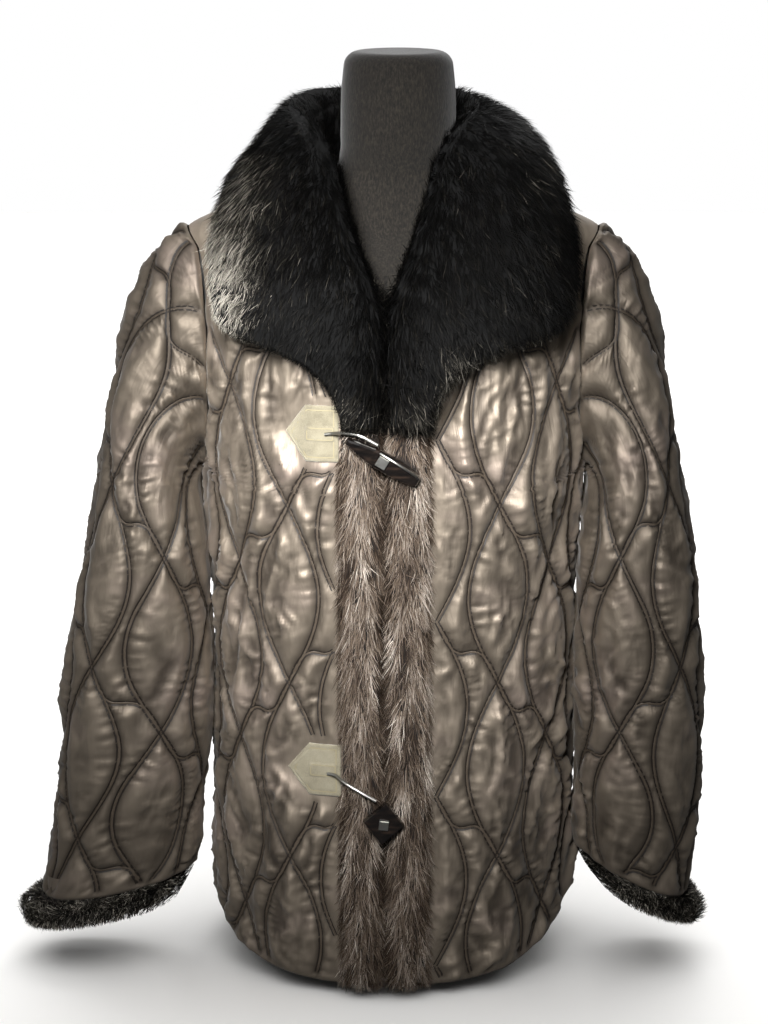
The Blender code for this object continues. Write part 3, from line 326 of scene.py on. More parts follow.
def torso_base(s, z, side, front):
    """Points on the torso form for flat points."""
    across, deep, length = torso_slice(z, front)
    x = np.empty(len(s))
    y = np.empty(len(s))
    for row, distance in enumerate(np.abs(s)):
        x[row] = np.interp(distance, length[row], across[row])
        y[row] = np.interp(distance, length[row], deep[row])
    return np.stack([side * np.sign(s) * x, -y if front else y, z], axis=1)


# ---- quilting and relief -----------------------------------------------------------------------
def quilting(start, s_range, t_range):
    """Stitch lines as lists of flat points."""
    lines = []
    shift = -SHEAR * LEAF_LENGTH
    first = math.floor((s_range[0] - start[0]) / COLUMN) - 1
    last = math.ceil((s_range[1] - start[0]) / COLUMN) + 1
    steps = np.linspace(0.0, 1.0, 121)
    for column in range(first, last + 1):
        middle = start[0] + column * COLUMN
        base = (start[1] + column * shift) % LEAF_LENGTH + t_range[0] - LEAF_LENGTH
        base -= t_range[0] % LEAF_LENGTH
        while base < t_range[1]:
            for edge in (-1, 1):
                bulge = edge * LEAF_HALF * np.sin(math.pi * steps)
                lines.append(np.stack([middle + bulge, base + steps * LEAF_LENGTH], axis=1))
            sway = steps + 0.18 * np.sin(2 * math.pi * steps)
            lines.append(np.stack([middle + COLUMN * steps, base + shift * sway], axis=1))
            base += LEAF_LENGTH
    return lines


def evenly(line, step, fewest):
    """A flat line at even steps: the places along it and its points there."""
    run = np.concatenate([[0.0], np.cumsum(np.hypot(*np.diff(line, axis=0).T))])
    at = np.linspace(0.0, run[-1], max(fewest, int(run[-1] / step)))
    return at, np.stack([np.interp(at, run, line[:, 0]), np.interp(at, run, line[:, 1])], axis=1)


def across_line(line):
    """Unit steps across a flat line."""
    way = np.gradient(line, axis=0)
    way /= np.maximum(np.linalg.norm(way, axis=1, keepdims=True), 1e-9)
    return np.stack([-way[:, 1], way[:, 0]], axis=1)


def nearest(lines, s, t):
    """Distance from each flat point to the nearest stitch line, the place along it and its number."""
    points = []
    marks = []
    for number, line in enumerate(lines):
        at, even = evenly(line, SEARCH_STEP, 2)
        points.append(even)
        marks.append(np.stack([at, np.full(len(at), number)], axis=1))
    points = np.concatenate(points)
    marks = np.concatenate(marks)
    tree = kdtree.KDTree(len(points))
    for index, (x, y) in enumerate(points):
        tree.insert((x, y, 0.0), index)
    tree.balance()
    found = [tree.find((x, y, 0.0))[1:] for x, y in zip(s, t)]
    index = np.array([item[0] for item in found])
    distance = np.array([item[1] for item in found])
    return distance, marks[index, 0], marks[index, 1]


def soft_noise(s, t, scale_s, scale_t, seed):
    """Smooth uneven waves, from -1 to 1."""
    rng = np.random.default_rng(seed)
    total = np.zeros(len(s))
    for _ in range(9):
        angle = rng.uniform(0, 2 * math.pi)
        size = rng.uniform(0.6, 1.6)
        phase = rng.uniform(0, 2 * math.pi)
        along = s / scale_s * math.cos(angle) + t / scale_t * math.sin(angle)
        total += np.sin(2 * math.pi * along * size + phase)
    return total / 4.0


def crumple(s, t, seed, tilts):
    """Crumpled cloth: ridges of uneven size and place, along the given tilts from straight down."""
    rng = np.random.default_rng(seed)
    total = np.zeros(len(s))
    for size, high in CRUMPLES:
        size, high = size * MM, high * MM
        for tilt, share in tilts:
            angle = tilt + rng.uniform(-0.2, 0.2)
            warp = soft_noise(s, t, size * 2.2, size * 3.4, int(rng.integers(1, 9000)))
            patch = soft_noise(s, t, size * 2.6, size * 4.5, int(rng.integers(1, 9000)))
            way = (s * math.cos(angle) + t * math.sin(angle)) / size + 0.6 * warp
            ridge = 1 - np.abs(np.sin(math.pi * way)) ** 0.8
            total += share * high * np.clip(0.35 + 1.0 * patch, 0.0, 1.2) * (ridge - 0.36)
    return total


def creases(table, s, t):
    """The rise of the listed creases."""
    rise = np.zeros(len(s))
    for middle, height, half_long, half_wide, up, lean in table:
        down = (t / MM - height) / half_long
        off = (s / MM - middle - lean * (t / MM - height)) / half_wide
        rise += up * MM * np.exp(-(off**2)) * np.clip(1 - down**2, 0.0, 1.0) ** 1.5
    return rise


def front_folds(s, z):
    """The rise of the fronts' largest folds, the same as in the part."""
    rise = np.zeros(len(s))
    for middle, top, foot, half, height in FRONT_FOLDS:
        along = np.clip((z / MM - foot) / (top - foot), 0.0, 1.0)
        rise += height * MM * np.sin(math.pi * along) * np.exp(-(((np.abs(s) / MM - middle) / half) ** 2))
    return rise


def relief(lines, s, t, edge, plain, table, seed, tilts=BODY_TILTS):
    """Height of the cloth's face over its inner face, and how much painted shade it gets: in the channels by
    the stitch lines and in the hollows of its creases.
    """
    distance, along, number = nearest(lines, s, t)
    loose = np.clip((distance - CHANNEL) / (PUFF_REACH - CHANNEL), 0.0, 1.0)
    pillow = PUFF * (1 - (1 - loose) ** 2.3) ** 0.85
    edge_rise = np.clip(edge / EDGE_ROLL, 0.0, 1.0)
    pillow *= (1 - (1 - edge_rise) ** 2) ** 0.5
    slow = along + 5 * MM * np.sin(along / (13 * MM) + number * 2.3)
    wave = 12 * MM + 4 * MM * np.sin(number * 2.7)
    pucker = np.sin(2 * math.pi * slow / wave + number * 1.9)
    pucker += 0.6 * np.sin(2 * math.pi * slow / (wave * 0.57) + number * 4.1)
    pucker *= np.clip(0.45 + 1.1 * soft_noise(s, t, 40 * MM, 60 * MM, seed + 2), 0.0, 1.3)
    near = np.clip((distance - CHANNEL) / (2.5 * MM), 0.0, 1.0) * np.exp(-distance / (9 * MM))
    fine = PUCKER * pucker * near
    fine += crumple(s, t, seed, tilts) * (0.25 + 0.75 * loose)
    fine += CREASES_UP * creases(table, s, t) * (0.25 + 0.75 * loose)
    rise = np.maximum(CLOTH + (pillow + fine * edge_rise) * plain, 0.5 * CLOTH)
    # painted shade: the colour darkens in the sewn channels and in the hollows of the crumples, where shade
    # falls
    hollow = np.clip(-fine / HOLLOW, 0.0, 1.0) * edge_rise
    shade = np.maximum(np.exp(-((distance / CHANNEL_SHADE) ** 2)), HOLLOW_SHADE * hollow) * plain
    return rise, shade


class Sheet:
    """A cloth piece as a grid of points: rows go up, columns go across."""

    def __init__(self, name, base, normal, s, t, rise, shade):
        self.name = name
        self.base = base
        self.normal = normal
        self.s = s
        self.t = t
        self.rise = rise
        self.shade = shade
        self.points = base + normal * rise[..., None]
        self.flip = False

    def at(self, row, column, up=0.0):
        """Points over the grid, between its rows and columns."""
        rows, columns = self.s.shape
        row = np.clip(row, 0, rows - 1.001)
        column = np.clip(column, 0, columns - 1.001)
        i, j = row.astype(int), column.astype(int)
        a, b = (row - i)[:, None], (column - j)[:, None]

        def blend(grid):
            low = grid[i, j] * (1 - b) + grid[i, j + 1] * b
            high = grid[i + 1, j] * (1 - b) + grid[i + 1, j + 1] * b
            return low * (1 - a) + high * a

        normal = blend(self.normal)
        return blend(self.points) + normal * np.asarray(up).reshape(-1, 1), normal

    def build(self, material, close=False, flip=False, hem=()):
        """The mesh of the sheet, with its hem's edge turned in below; a tube is closed along its seam."""
        self.flip = flip
        rows, columns = self.s.shape
        points = self.points.reshape(-1, 3)
        shade = self.shade.ravel()
        flat = np.stack([self.s.ravel(), self.t.ravel()], axis=1)
        index = np.arange(rows * columns).reshape(rows, columns)
        rings = [index[i] for i in range(rows)]
        for down, lift in hem:
            first = self.base[0] + self.normal[0] * lift
            first[:, 2] += down
            rings.insert(0, np.arange(len(points), len(points) + columns))
            points = np.concatenate([points, first])
            shade = np.concatenate([shade, np.zeros(columns)])
            flat = np.concatenate([flat, np.stack([self.s[0], self.t[0] + down], axis=1)])
        rings = np.array(rings)
        a, b = rings[:-1, :-1].ravel(), rings[:-1, 1:].ravel()
        c, d = rings[1:, 1:].ravel(), rings[1:, :-1].ravel()
        faces = np.stack([a, b, c, d], axis=1)
        if flip:
            faces = faces[:, ::-1]
        thing = add_mesh(self.name, points, faces, material)
        paint(thing, "shade", shade)
        lay_uv(thing, flat)
        if close:
            weld(thing)
        return thing


def add_mesh(name, points, faces, material):
    """A smooth mesh object at the origin; faces are rows of an array or lists of corners."""
    mesh = bpy.data.meshes.new(name)
    faces = faces.tolist() if isinstance(faces, np.ndarray) else faces
    mesh.from_pydata(np.asarray(points).tolist(), [], faces)
    mesh.shade_smooth()
    mesh.materials.append(material)
    thing = bpy.data.objects.new(name, mesh)
    bpy.context.scene.collection.objects.link(thing)
    return thing


def face_outwards(thing):
    body = bmesh.new()
    body.from_mesh(thing.data)
    bmesh.ops.recalc_face_normals(body, faces=body.faces)
    body.to_mesh(thing.data)
    body.free()


def paint(thing, name, values):
    """One value a point, for a material to read."""
    attribute = thing.data.attributes.new(name, "FLOAT", "POINT")
    attribute.data.foreach_set("value", np.asarray(values, dtype=np.float32))


def lay_uv(thing, flat):
    """Flat cloth places, in metres, as the UV map."""
    layer = thing.data.uv_layers.new(name="cloth")
    corners = np.empty(len(thing.data.loops), dtype=np.int64)
    thing.data.loops.foreach_get("vertex_index", corners)
    layer.data.foreach_set("uv", np.asarray(flat, dtype=np.float32)[corners].ravel())


def ride(thing, replaces=None):
    """Fixes a piece to the one body, and hides the CAD node that it belongs to or stands for, if one is
    given.
    """
    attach(thing, "root")
    if replaces:
        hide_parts(replaces)
    return thing


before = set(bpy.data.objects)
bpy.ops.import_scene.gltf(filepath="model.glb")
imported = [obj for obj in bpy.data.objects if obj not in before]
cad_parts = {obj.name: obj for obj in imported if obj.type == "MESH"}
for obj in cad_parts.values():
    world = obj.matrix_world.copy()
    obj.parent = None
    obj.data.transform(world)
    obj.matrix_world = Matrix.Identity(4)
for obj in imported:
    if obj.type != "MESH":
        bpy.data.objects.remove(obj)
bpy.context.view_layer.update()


# ---- body panels -------------------------------------------------------------------------------
class Body:
    """Flat limits of one body panel, and the way from flat points to its grid."""

    def __init__(self, front, side, start):
        self.front = front
        self.side = side
        self.start = start
        self.low = HEM_FRONT if front else HEM_BACK
        self.heights = np.linspace(-10 * MM, NECK_POINT, 700)
        reach = torso_reach(self.heights, front)
        middle, half = (SHOULDER_TIP + ARMPIT) / 2, (SHOULDER_TIP - ARMPIT) / 2
        turn = np.arccos(np.clip((self.heights - middle) / half, -1.0, 1.0))
        bite = np.where(np.abs(self.heights - middle) < half, ARMHOLE_BITE * np.sin(turn) ** 0.85, 0.0)
        self.wide = reach - bite - SEAM_GAP / 2
        self.reach = reach
        self.rows = int((NECK_POINT - self.low) / GRID)
        self.columns = int(PANEL_REACH / GRID) * (1 if front else 2)

    def limits(self, z):
        """The panel's edges at each height, from its inner seam to its side."""
        wide = np.interp(z, self.heights, self.wide)
        if not self.front:
            return -wide, wide
        neck = [(height * MM, s * MM) for height, s in reversed(FRONT_NECK)]
        neck[0] = (neck[0][0], self.start)
        inner = np.interp(z, [row[0] for row in neck], [row[1] for row in neck])
        return inner, np.maximum(wide, inner + 0.05 * MM)

    def hem(self, s):
        """Height of the curved hem over its lowest point."""
        high = np.where(np.asarray(s) * self.side > 0, HEM_SIDE[1], HEM_SIDE[-1])
        reach = np.interp(high, self.heights, self.reach) - SEAM_GAP / 2
        return (high - self.low) * np.clip(np.abs(s) / reach, 0, 1) ** HEM_CURVE

    def fade(self, h):
        """How much of the hem's curve a row still has."""
        return np.clip(1 - (h - self.low) / HEM_FADE, 0.0, 1.0) ** 1.6

    def grid(self):
        """Flat points of the grid; rows follow the hem below and the neck above."""
        h = np.linspace(self.low, NECK_POINT, self.rows)[:, None]
        share = np.linspace(0.0 if self.front else -1.0, 1.0, self.columns)[None, :]
        h = np.repeat(h, self.columns, axis=1)
        z = h
        for _ in range(3):
            lower, upper = self.limits(z)
            s = lower + (upper - lower) * (share if self.front else (share + 1) / 2)
            z = h + self.hem(s) * self.fade(h)
        if not self.front:
            neck = [(s * MM, height * MM) for height, s in reversed(BACK_NECK)]
            drop = NECK_POINT - np.interp(np.abs(s), [row[0] for row in neck], [row[1] for row in neck])
            z = z - drop * np.clip((h - NECK_DROP) / (NECK_POINT - NECK_DROP), 0.0, 1.0)
        return s, z

    def locate(self, s, z):
        """Row and column of flat points, with parts of a step."""
        h = np.array(z)
        for _ in range(12):
            h = z - self.hem(s) * self.fade(h)
        lower, upper = self.limits(z)
        row = (h - self.low) / (NECK_POINT - self.low) * (self.rows - 1)
        return row, (s - lower) / (upper - lower) * (self.columns - 1)

    def room(self, s, z):
        """Distance to the nearest seam, and to the nearest part that is sewn without quilting."""
        lower, upper = self.limits(z)
        edge = np.minimum(upper - s, s - lower)
        edge = np.minimum(edge, z - self.low - self.hem(s))
        away = (COVERED_FRONT if self.front else COVERED_BACK) - z
        if self.front:
            beside = np.maximum(s - self.start - STRIP_WIDTH, 0.0)
            away = np.minimum(away, np.hypot(beside, np.maximum(z - STRIP_TOP, 0.0)))
        if self.front and self.side < 0:
            for height in TAB_HEIGHTS.values():
                off = np.abs(z - height)
                slant = (s - TAB_POINT + off * (TAB_POINT - TAB_SHOULDER) / TAB_HALF) / TAB_SLANT
                away = np.minimum(away, np.maximum(np.maximum(off - TAB_HALF, slant), 0.0))
        return edge, away


def keep_runs(lines, keep):
    """The stretches of each line where keep says that it is sewn."""
    runs = []
    for line in lines:
        good = keep(line)
        breaks = np.flatnonzero(np.diff(good.astype(int))) + 1
        for part, flag in zip(np.split(line, breaks), np.split(good, breaks)):
            if flag[0] and len(part) > 4:
                runs.append(part)
    return runs


def body_sheet(name, front, side, start, laid, seed, material):
    """A quilted panel of the body, with its laid creases, built on the torso form."""
    form = Body(front, side, start)
    s, z = form.grid()
    lines = quilting(BODY_NODE, *QUILTED)
    if not front:
        lines = [line for line in lines if line[:, 0].min() > 8 * MM]
        lines += [line * np.array([-1.0, 1.0]) for line in lines]

    def keep(line):
        edge, away = form.room(line[:, 0], line[:, 1])
        return (edge > CLEAR_OF_SEAM) & (away > CLEAR_OF_SEAM)

    runs = keep_runs(lines, keep)
    flat_s, flat_z = s.ravel(), z.ravel()
    edge, away = form.room(flat_s, flat_z)
    plain = np.clip(away / PUFF_REACH, 0.0, 1.0)
    rise, shade = relief(runs, flat_s, flat_z, np.maximum(edge, 0.0), plain, laid, seed)
    base = torso_base(np.where(flat_s == 0, 1e-7, flat_s), flat_z, side, front)
    normal = torso_outward(base)
    if front:
        rise = rise + front_folds(flat_s, flat_z)
    shape = s.shape
    base, normal = base.reshape(*shape, 3), normal.reshape(*shape, 3)
    sheet = Sheet(name, base, normal, s, z, rise.reshape(shape), shade.reshape(shape))
    sheet.thing = sheet.build(material, flip=(side < 0) == front, hem=TURNED_HEM)
    sheet.form = form
    sheet.runs = runs
    return sheet


# ---- sleeves -----------------------------------------------------------------------------------
class SleeveForm:
    """A sleeve as a tube up to the armpit and a head that bends over to the armhole."""

    def __init__(self, word):
        self.side = -1 if word == "right" else 1
        self.table = SLEEVES[word]
        self.end, self.tilt = SLEEVE_END[word]
        self.turns = np.linspace(0.0, 2 * math.pi, TURNS)
        around = np.where(self.turns <= math.pi, self.turns, 2 * math.pi - self.turns)
        z = (SHOULDER_TIP + ARMPIT) / 2 + (SHOULDER_TIP - ARMPIT) / 2 * np.cos(around)
        points = np.empty((TURNS, 3))
        for front in (True, False):
            pick = (self.turns <= math.pi) == front
            bite = ARMHOLE_BITE * np.maximum(np.sin(around[pick]), 0.0) ** 0.85
            s = torso_reach(z[pick], front) - bite + SEAM_GAP / 2
            points[pick] = torso_base(s, z[pick], self.side, front)
        points[:, 0] += self.side * TIP_GAP * np.maximum(np.cos(self.turns), 0.0)
        points += torso_outward(points) * (SLEEVE_LIFT * self.folded(self.turns))[:, None]
        self.start = points
        finish = self.tube(self.turns, np.full(TURNS, SLEEVE_TOP))
        self.cap = np.linalg.norm(finish - points, axis=1) * 1.12
        self.low_rows = int((SLEEVE_TOP - self.end) / GRID)
        self.cap_rows = int(self.cap.max() / GRID)
        self.columns = int(SLEEVE_ROUND / GRID)

    def folded(self, turn):
        """0 at the top of the shoulder, and 1 from its sides down."""
        u = np.clip(np.abs(np.sin(turn / 2)) / 0.6, 0.0, 1.0)
        return u * u * (3 - 2 * u)

    def cap_length(self, turn):
        """Length of the sleeve's head above the armpit, all round."""
        return np.interp(turn % (2 * math.pi), self.turns, self.cap)

    def tube(self, turn, height):
        """Points of the sleeve below the armpit, where its slanting end fades out upwards."""
        outer, inner, middle_y, half_y = (read_column(self.table, k, height) * MM for k in (1, 2, 3, 4))
        fade = np.clip(1 - (height - self.end) / TILT_FADE, 0.0, 1.0)
        power = 2 / 2.2
        across = np.sign(np.cos(turn)) * np.abs(np.cos(turn)) ** power
        deep = np.sign(np.sin(turn)) * np.abs(np.sin(turn)) ** power
        x = self.side * ((outer + inner) / 2 + (outer - inner) / 2 * across)
        return np.stack([x, middle_y - half_y * deep, height - self.tilt * across * fade**2], axis=-1)

    def crown(self, turn, share):
        """Points of the sleeve's head; share is 0 at the tube and 1 at the armhole."""
        around = turn % (2 * math.pi)
        start = np.stack([np.interp(around, self.turns, self.start[:, k]) for k in range(3)], axis=-1)
        level = np.full(turn.shape, SLEEVE_TOP)
        finish = self.tube(turn, level)
        below = self.tube(turn, level - 5 * MM)
        down = (below - finish) / np.linalg.norm(below - finish, axis=-1, keepdims=True)
        top = (1 + np.cos(turn)) / 2
        aside = np.full(turn.shape, self.side * 1.0)
        out = np.stack([aside, -0.12 * np.sin(turn), -0.45 + 0.2 * (1 - top)], axis=-1)
        out /= np.linalg.norm(out, axis=-1, keepdims=True)
        # a smooth curve that leaves the armhole outwards and comes into the tube straight down
        span = self.cap_length(turn)[..., None]
        w = np.clip(1 - share, 0.0, 1.0)[..., None]
        return (
            (2 * w**3 - 3 * w**2 + 1) * start
            + (w**3 - 2 * w**2 + w) * out * span * (0.75 - 0.15 * top)[..., None]
            + (3 * w**2 - 2 * w**3) * finish
            + (w**3 - w**2) * down * span * 1.1
        )

    def locate(self, s, t):
        """Row and column of flat points, with parts of a step."""
        half = SLEEVE_ROUND / 2
        turn = 2 * math.pi * s / SLEEVE_ROUND
        low = (t - self.end) / (SLEEVE_TOP - self.end) * self.low_rows
        high = self.low_rows + (t - SLEEVE_TOP) / self.cap_length(turn) * self.cap_rows
        return np.where(t < SLEEVE_TOP, low, high), (s + half) / SLEEVE_ROUND * (self.columns - 1)

    def room(self, s, t):
        """Distance to the nearest seam or to the sleeve's end."""
        top = SLEEVE_TOP + self.cap_length(2 * math.pi * s / SLEEVE_ROUND)
        return np.minimum(np.minimum(top - t, t - self.end), SLEEVE_ROUND / 2 - np.abs(s))


def sleeve_sheet(word, seed, material):
    """A quilted sleeve: tube and head as one sheet, sewn up under the arm."""
    form = SleeveForm(word)
    half = SLEEVE_ROUND / 2
    s = np.linspace(-half, half, form.columns)[None, :]
    turn = 2 * math.pi * s / SLEEVE_ROUND
    low = form.end + (SLEEVE_TOP - form.end) * np.linspace(0.0, 1.0, form.low_rows + 1)[:-1, None]
    share = np.linspace(0.0, 1.0, form.cap_rows + 1)[:, None]
    t = np.concatenate([low + 0 * s, SLEEVE_TOP + share * form.cap_length(turn)])
    s_grid, turn_grid = s + 0 * t, turn + 0 * t
    rows = len(low)
    base = np.concatenate([
        form.tube(turn_grid[:rows], t[:rows]),
        form.crown(turn_grid[rows:], share + 0 * turn),
    ])
    way = np.roll(base[:, :-1], -1, axis=1) - np.roll(base[:, :-1], 1, axis=1)
    way = np.concatenate([way, way[:, :1]], axis=1)
    normal = -np.cross(way, np.gradient(base, axis=0)) * form.side
    normal /= np.linalg.norm(normal, axis=2, keepdims=True)
    lines = quilting(SLEEVE_NODE, (-half, half), QUILTED[1])
    runs = keep_runs(lines, lambda line: form.room(line[:, 0], line[:, 1]) > CLEAR_OF_SEAM)
    flat_s, flat_t = s_grid.ravel(), t.ravel()
    edge = np.maximum(form.room(flat_s, flat_t), 0.0)
    rise, shade = relief(runs, flat_s, flat_t, edge, 1.0, SLEEVE_CREASES, seed, SLEEVE_TILTS)
    near_top = np.clip(1 - (SLEEVE_TOP + form.cap_length(turn) - t) / (14 * MM), 0.0, 1.0)
    mix = (near_top * (1 - form.folded(turn_grid)))[..., None]
    torso = torso_outward(base.reshape(-1, 3)).reshape(base.shape)
    normal = normal * (1 - mix) + torso * mix
    normal /= np.linalg.norm(normal, axis=2, keepdims=True)
    name = "sleeve_shell_" + word
    sheet = Sheet(name, base, normal, s_grid, t, rise.reshape(t.shape), shade.reshape(t.shape))
    sheet.thing = sheet.build(material, close=True, flip=form.side > 0, hem=TURNED_HEM)
    sheet.form = form
    sheet.runs = runs
    return sheet


# ---- stitching ---------------------------------------------------------------------------------
def welt(name, sheet, runs, material):
    """The cloth that stands up between the two rows of a quilting line."""
    points = []
    faces = []
    flats = []
    for run in runs:
        at, line = evenly(run, WELT_STEP, 4)
        aside = across_line(line)
        ends = np.clip(np.minimum(at, at[-1] - at) / WELT_TAPER, 0.0, 1.0)
        uneven = 0.75 + 0.25 * np.sin(at / (2.1 * MM) + run[0, 0] * 900)
        count = len(at)
        first = len(points)
        columns = []
        for edge, rise in ((-WELT_HALF, -WELT_SUNK), (0.0, WELT_RISE), (WELT_HALF, -WELT_SUNK)):
            flat = line + aside * edge
            up = np.where(rise > 0, rise * ends * uneven, rise)
            placed, _ = sheet.at(*sheet.form.locate(flat[:, 0], flat[:, 1]), up=up)
            columns.append((placed, flat))
        for i in range(count):
            points += [columns[k][0][i] for k in range(3)]
            flats += [columns[k][1][i] for k in range(3)]
        for i in range(count - 1):
            k = first + 3 * i
            faces += [(k, k + 3, k + 4, k + 1), (k + 1, k + 4, k + 5, k + 2)]
    if sheet.flip:
        faces = [face[::-1] for face in faces]
    thing = add_mesh(name, np.array(points), faces, material)
    lay_uv(thing, np.array(flats))
    return thing


def sew(name, sheet, runs, material, apart=STITCH_APART, half=STITCH_HALF, lift=0.0):
    """Rows of stitches over a sheet along flat runs; each stitch goes down at both its ends."""
    points = []
    faces = []
    for run in runs:
        at, line = evenly(run, STITCH_STEP / 2, 3)
        aside = across_line(line)
        count = len(at)
        up = lift + np.where(np.arange(count) % 2 == 0, 0.0, STITCH_PROUD)
        for row in ((-apart / 2, apart / 2) if apart else (0.0,)):
            first = len(points)
            pair = []
            for edge in (-half, half):
                flat = line + aside * (row + edge)
                placed, _ = sheet.at(*sheet.form.locate(flat[:, 0], flat[:, 1]), up=up)
                pair.append(placed)
            for i in range(count):
                points += [pair[0][i], pair[1][i]]
            for i in range(count - 1):
                k = first + 2 * i
                faces.append((k, k + 1, k + 3, k + 2))
    if not sheet.flip:
        faces = [face[::-1] for face in faces]
    return add_mesh(name, np.array(points), faces, material)


# ---- fur ---------------------------------------------------------------------------------------
HAIR_STEPS = ((0.0, 1.0), (0.55, 0.8), (1.0, 0.0))      # place along a hair, and width there
HAIR_ALONG = [0.0, 0.0, 0.55, 0.55, 1.0]                # the same place for each of its points
HAIR_POINTS = len(HAIR_ALONG)
HAIR_TESTS = (0.25, 0.5, 0.75, 1.0)
HAIR_SHORTEST = 0.2
HAIR_SHADES = 0.12          # how much the hairs differ in tone
INWARDS = Vector((0.0, 1.0, 0.0))
KEPT_CLEAR = ("toggle_upper", "toggle_lower", "cord_upper", "cord_lower", "tab_upper", "tab_lower")
CLEAR_LOW = TAB_HEIGHTS["lower"] - 60 * MM
CLEAR_HIGH = TAB_HEIGHTS["upper"] + 40 * MM
CLEAR_Y = -60 * MM          # only hair rooted in front of this can hide a toggle or tab
CLEAR_DEPTH = 90 * MM
SAME_POINT = 0.01 * MM


def surface_of(thing):
    """Welded points, outward point normals and triangles of a CAD node's mesh."""
    mesh = thing.data
    mesh.calc_loop_triangles()
    points = np.empty(len(mesh.vertices) * 3)
    mesh.vertices.foreach_get("co", points)
    points = points.reshape(-1, 3)
    triangles = np.empty(len(mesh.loop_triangles) * 3, dtype=np.int32)
    mesh.loop_triangles.foreach_get("vertices", triangles)
    keys, back = np.unique(np.round(points / SAME_POINT).astype(np.int64), axis=0, return_inverse=True)
    triangles = back.reshape(-1)[triangles].reshape(-1, 3)
    points = keys * SAME_POINT
    a, b, c = (points[triangles[:, k]] for k in range(3))
    face = np.cross(b - a, c - a)
    normal = np.zeros_like(points)
    for k in range(3):
        np.add.at(normal, triangles[:, k], face)
    normal /= np.maximum(np.linalg.norm(normal, axis=1, keepdims=True), 1e-12)
    return points, normal, triangles, face


def unit(vectors):
    """Each row at length one."""
    return vectors / np.maximum(np.linalg.norm(vectors, axis=1, keepdims=True), 1e-9)


def solid_tree(*names):
    """A search tree over the faces of CAD nodes."""
    points = []
    faces = []
    for name in names:
        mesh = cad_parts[name].data
        mesh.calc_loop_triangles()
        first = len(points)
        points += [vert.co.copy() for vert in mesh.vertices]
        faces += [tuple(corner + first for corner in face.vertices) for face in mesh.loop_triangles]
    return bvhtree.BVHTree.FromPolygons(points, faces)


def trimmed(root, direction, long, node_name, beyond):
    """Share of each hair that is kept: it stays near its own solid and never hides a toggle or tab."""
    own = solid_tree(node_name)
    kept_clear = solid_tree(*KEPT_CLEAR)
    low, high = CLEAR_LOW - long.max(), CLEAR_HIGH + long.max()
    share = np.ones(len(root))
    for index in range(len(root)):
        near_front = low < root[index][2] < high and root[index][1] < CLEAR_Y
        last = HAIR_SHORTEST
        for u in HAIR_TESTS:
            point = Vector(root[index] + direction[index] * long[index] * u)
            spot, normal, _, distance = own.find_nearest(point)
            if distance > beyond[index] and (point - spot).dot(normal) > 0:
                break
            if near_front and kept_clear.ray_cast(point, INWARDS, CLEAR_DEPTH)[0] is not None:
                last = min(last, 0.6 * HAIR_SHORTEST)
                break
            last = u
        share[index] = last
    return share


def grow(
    name, node_name, *, count, length, width, depth, lay, comb, tone, material, seed, beyond, where=None
):
    """Single hairs, as thin tapering blades, rooted under a CAD node's face and lying along comb.

    lay is how steeply they rise, and beyond how far they may stand off the node.
    """
    rng = np.random.default_rng(seed)
    points, normals, triangles, face = surface_of(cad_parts[node_name])
    if where is not None:
        middle = points[triangles].mean(axis=1)
        pick = where(middle)
        triangles, face = triangles[pick], face[pick]
    area = np.linalg.norm(face, axis=1)
    chosen = rng.choice(len(triangles), count, p=area / area.sum())
    r, q = np.sqrt(rng.random(count))[:, None], rng.random(count)[:, None]
    corner = triangles[chosen]
    weights = (1 - r, r * (1 - q), r * q)
    place = sum(points[corner[:, k]] * weights[k] for k in range(3))
    normal = unit(sum(normals[corner[:, k]] * weights[k] for k in range(3)))
    # neighbours lean together in clumps, and each hair a little its own way
    way = comb(place, normal)
    clump = np.stack([
        soft_noise(place[:, 0] + place[:, 1], place[:, 2], 26 * MM, 26 * MM, seed + k) for k in range(3)
    ], axis=1)
    way = way + 0.38 * clump + rng.normal(0.0, 0.2, (count, 3))
    way = unit(way - (way * normal).sum(axis=1, keepdims=True) * normal)
    rise = lay * rng.uniform(0.6, 1.5, (count, 1)) * (1 + 0.35 * clump[:, :1])
    direction = unit(way + normal * rise)
    # each has its own length, reach and curl, and bends back down towards its tip
    root = place - normal * depth
    long = length * rng.uniform(0.5, 1.15, (count, 1))
    reach = rng.uniform(0.35, 1.3, count) * (beyond(place) if callable(beyond) else beyond)
    long *= trimmed(root, direction, long, node_name, reach)[:, None]
    aside = unit(np.cross(direction, normal) + rng.normal(0.0, 0.25, (count, 3)))
    curl = rng.normal(0.0, 0.12, (count, 1)) * aside
    rows = []
    for u, wide in HAIR_STEPS:
        middle = root + long * (direction * u + curl * u * u - normal * 0.22 * rise * u * u)
        middle[:, 2] -= (0.1 * long[:, 0]) * u * u
        if wide:
            half = width / 2 * wide * rng.uniform(0.8, 1.2, (count, 1))
            rows += [middle - aside * half, middle + aside * half]
        else:
            rows.append(middle)
    k = np.arange(count)[:, None] * HAIR_POINTS
    faces = (k + np.array([[0, 1, 3, 2]])).tolist() + (k + np.array([[2, 3, 4]])).tolist()
    thing = add_mesh(name, np.stack(rows, axis=1).reshape(-1, 3), faces, material)
    shade = np.clip(tone(place) + rng.normal(0.0, HAIR_SHADES, count), 0.0, 1.0)
    paint(thing, "tone", np.repeat(shade, HAIR_POINTS))
    paint(thing, "along", np.tile(HAIR_ALONG, count))
    return thing


def core(name, node_name, inward, material, ring=False):
    """The dark underfur: a CAD node's own form drawn in, on all sides or, for a ring, on its outside."""
    points, normals, triangles, _ = surface_of(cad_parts[node_name])
    if ring:
        aside = points - points.mean(axis=0)
        outer = (aside * normals)[:, :2].sum(axis=1) > 0
        upright = np.where(normals[:, 2] < 0, 1.0, 0.15)
        normals = np.stack([normals[:, 0] * outer, normals[:, 1] * outer, normals[:, 2] * upright], axis=1)
    return add_mesh(name, points - normals * inward, triangles, material)


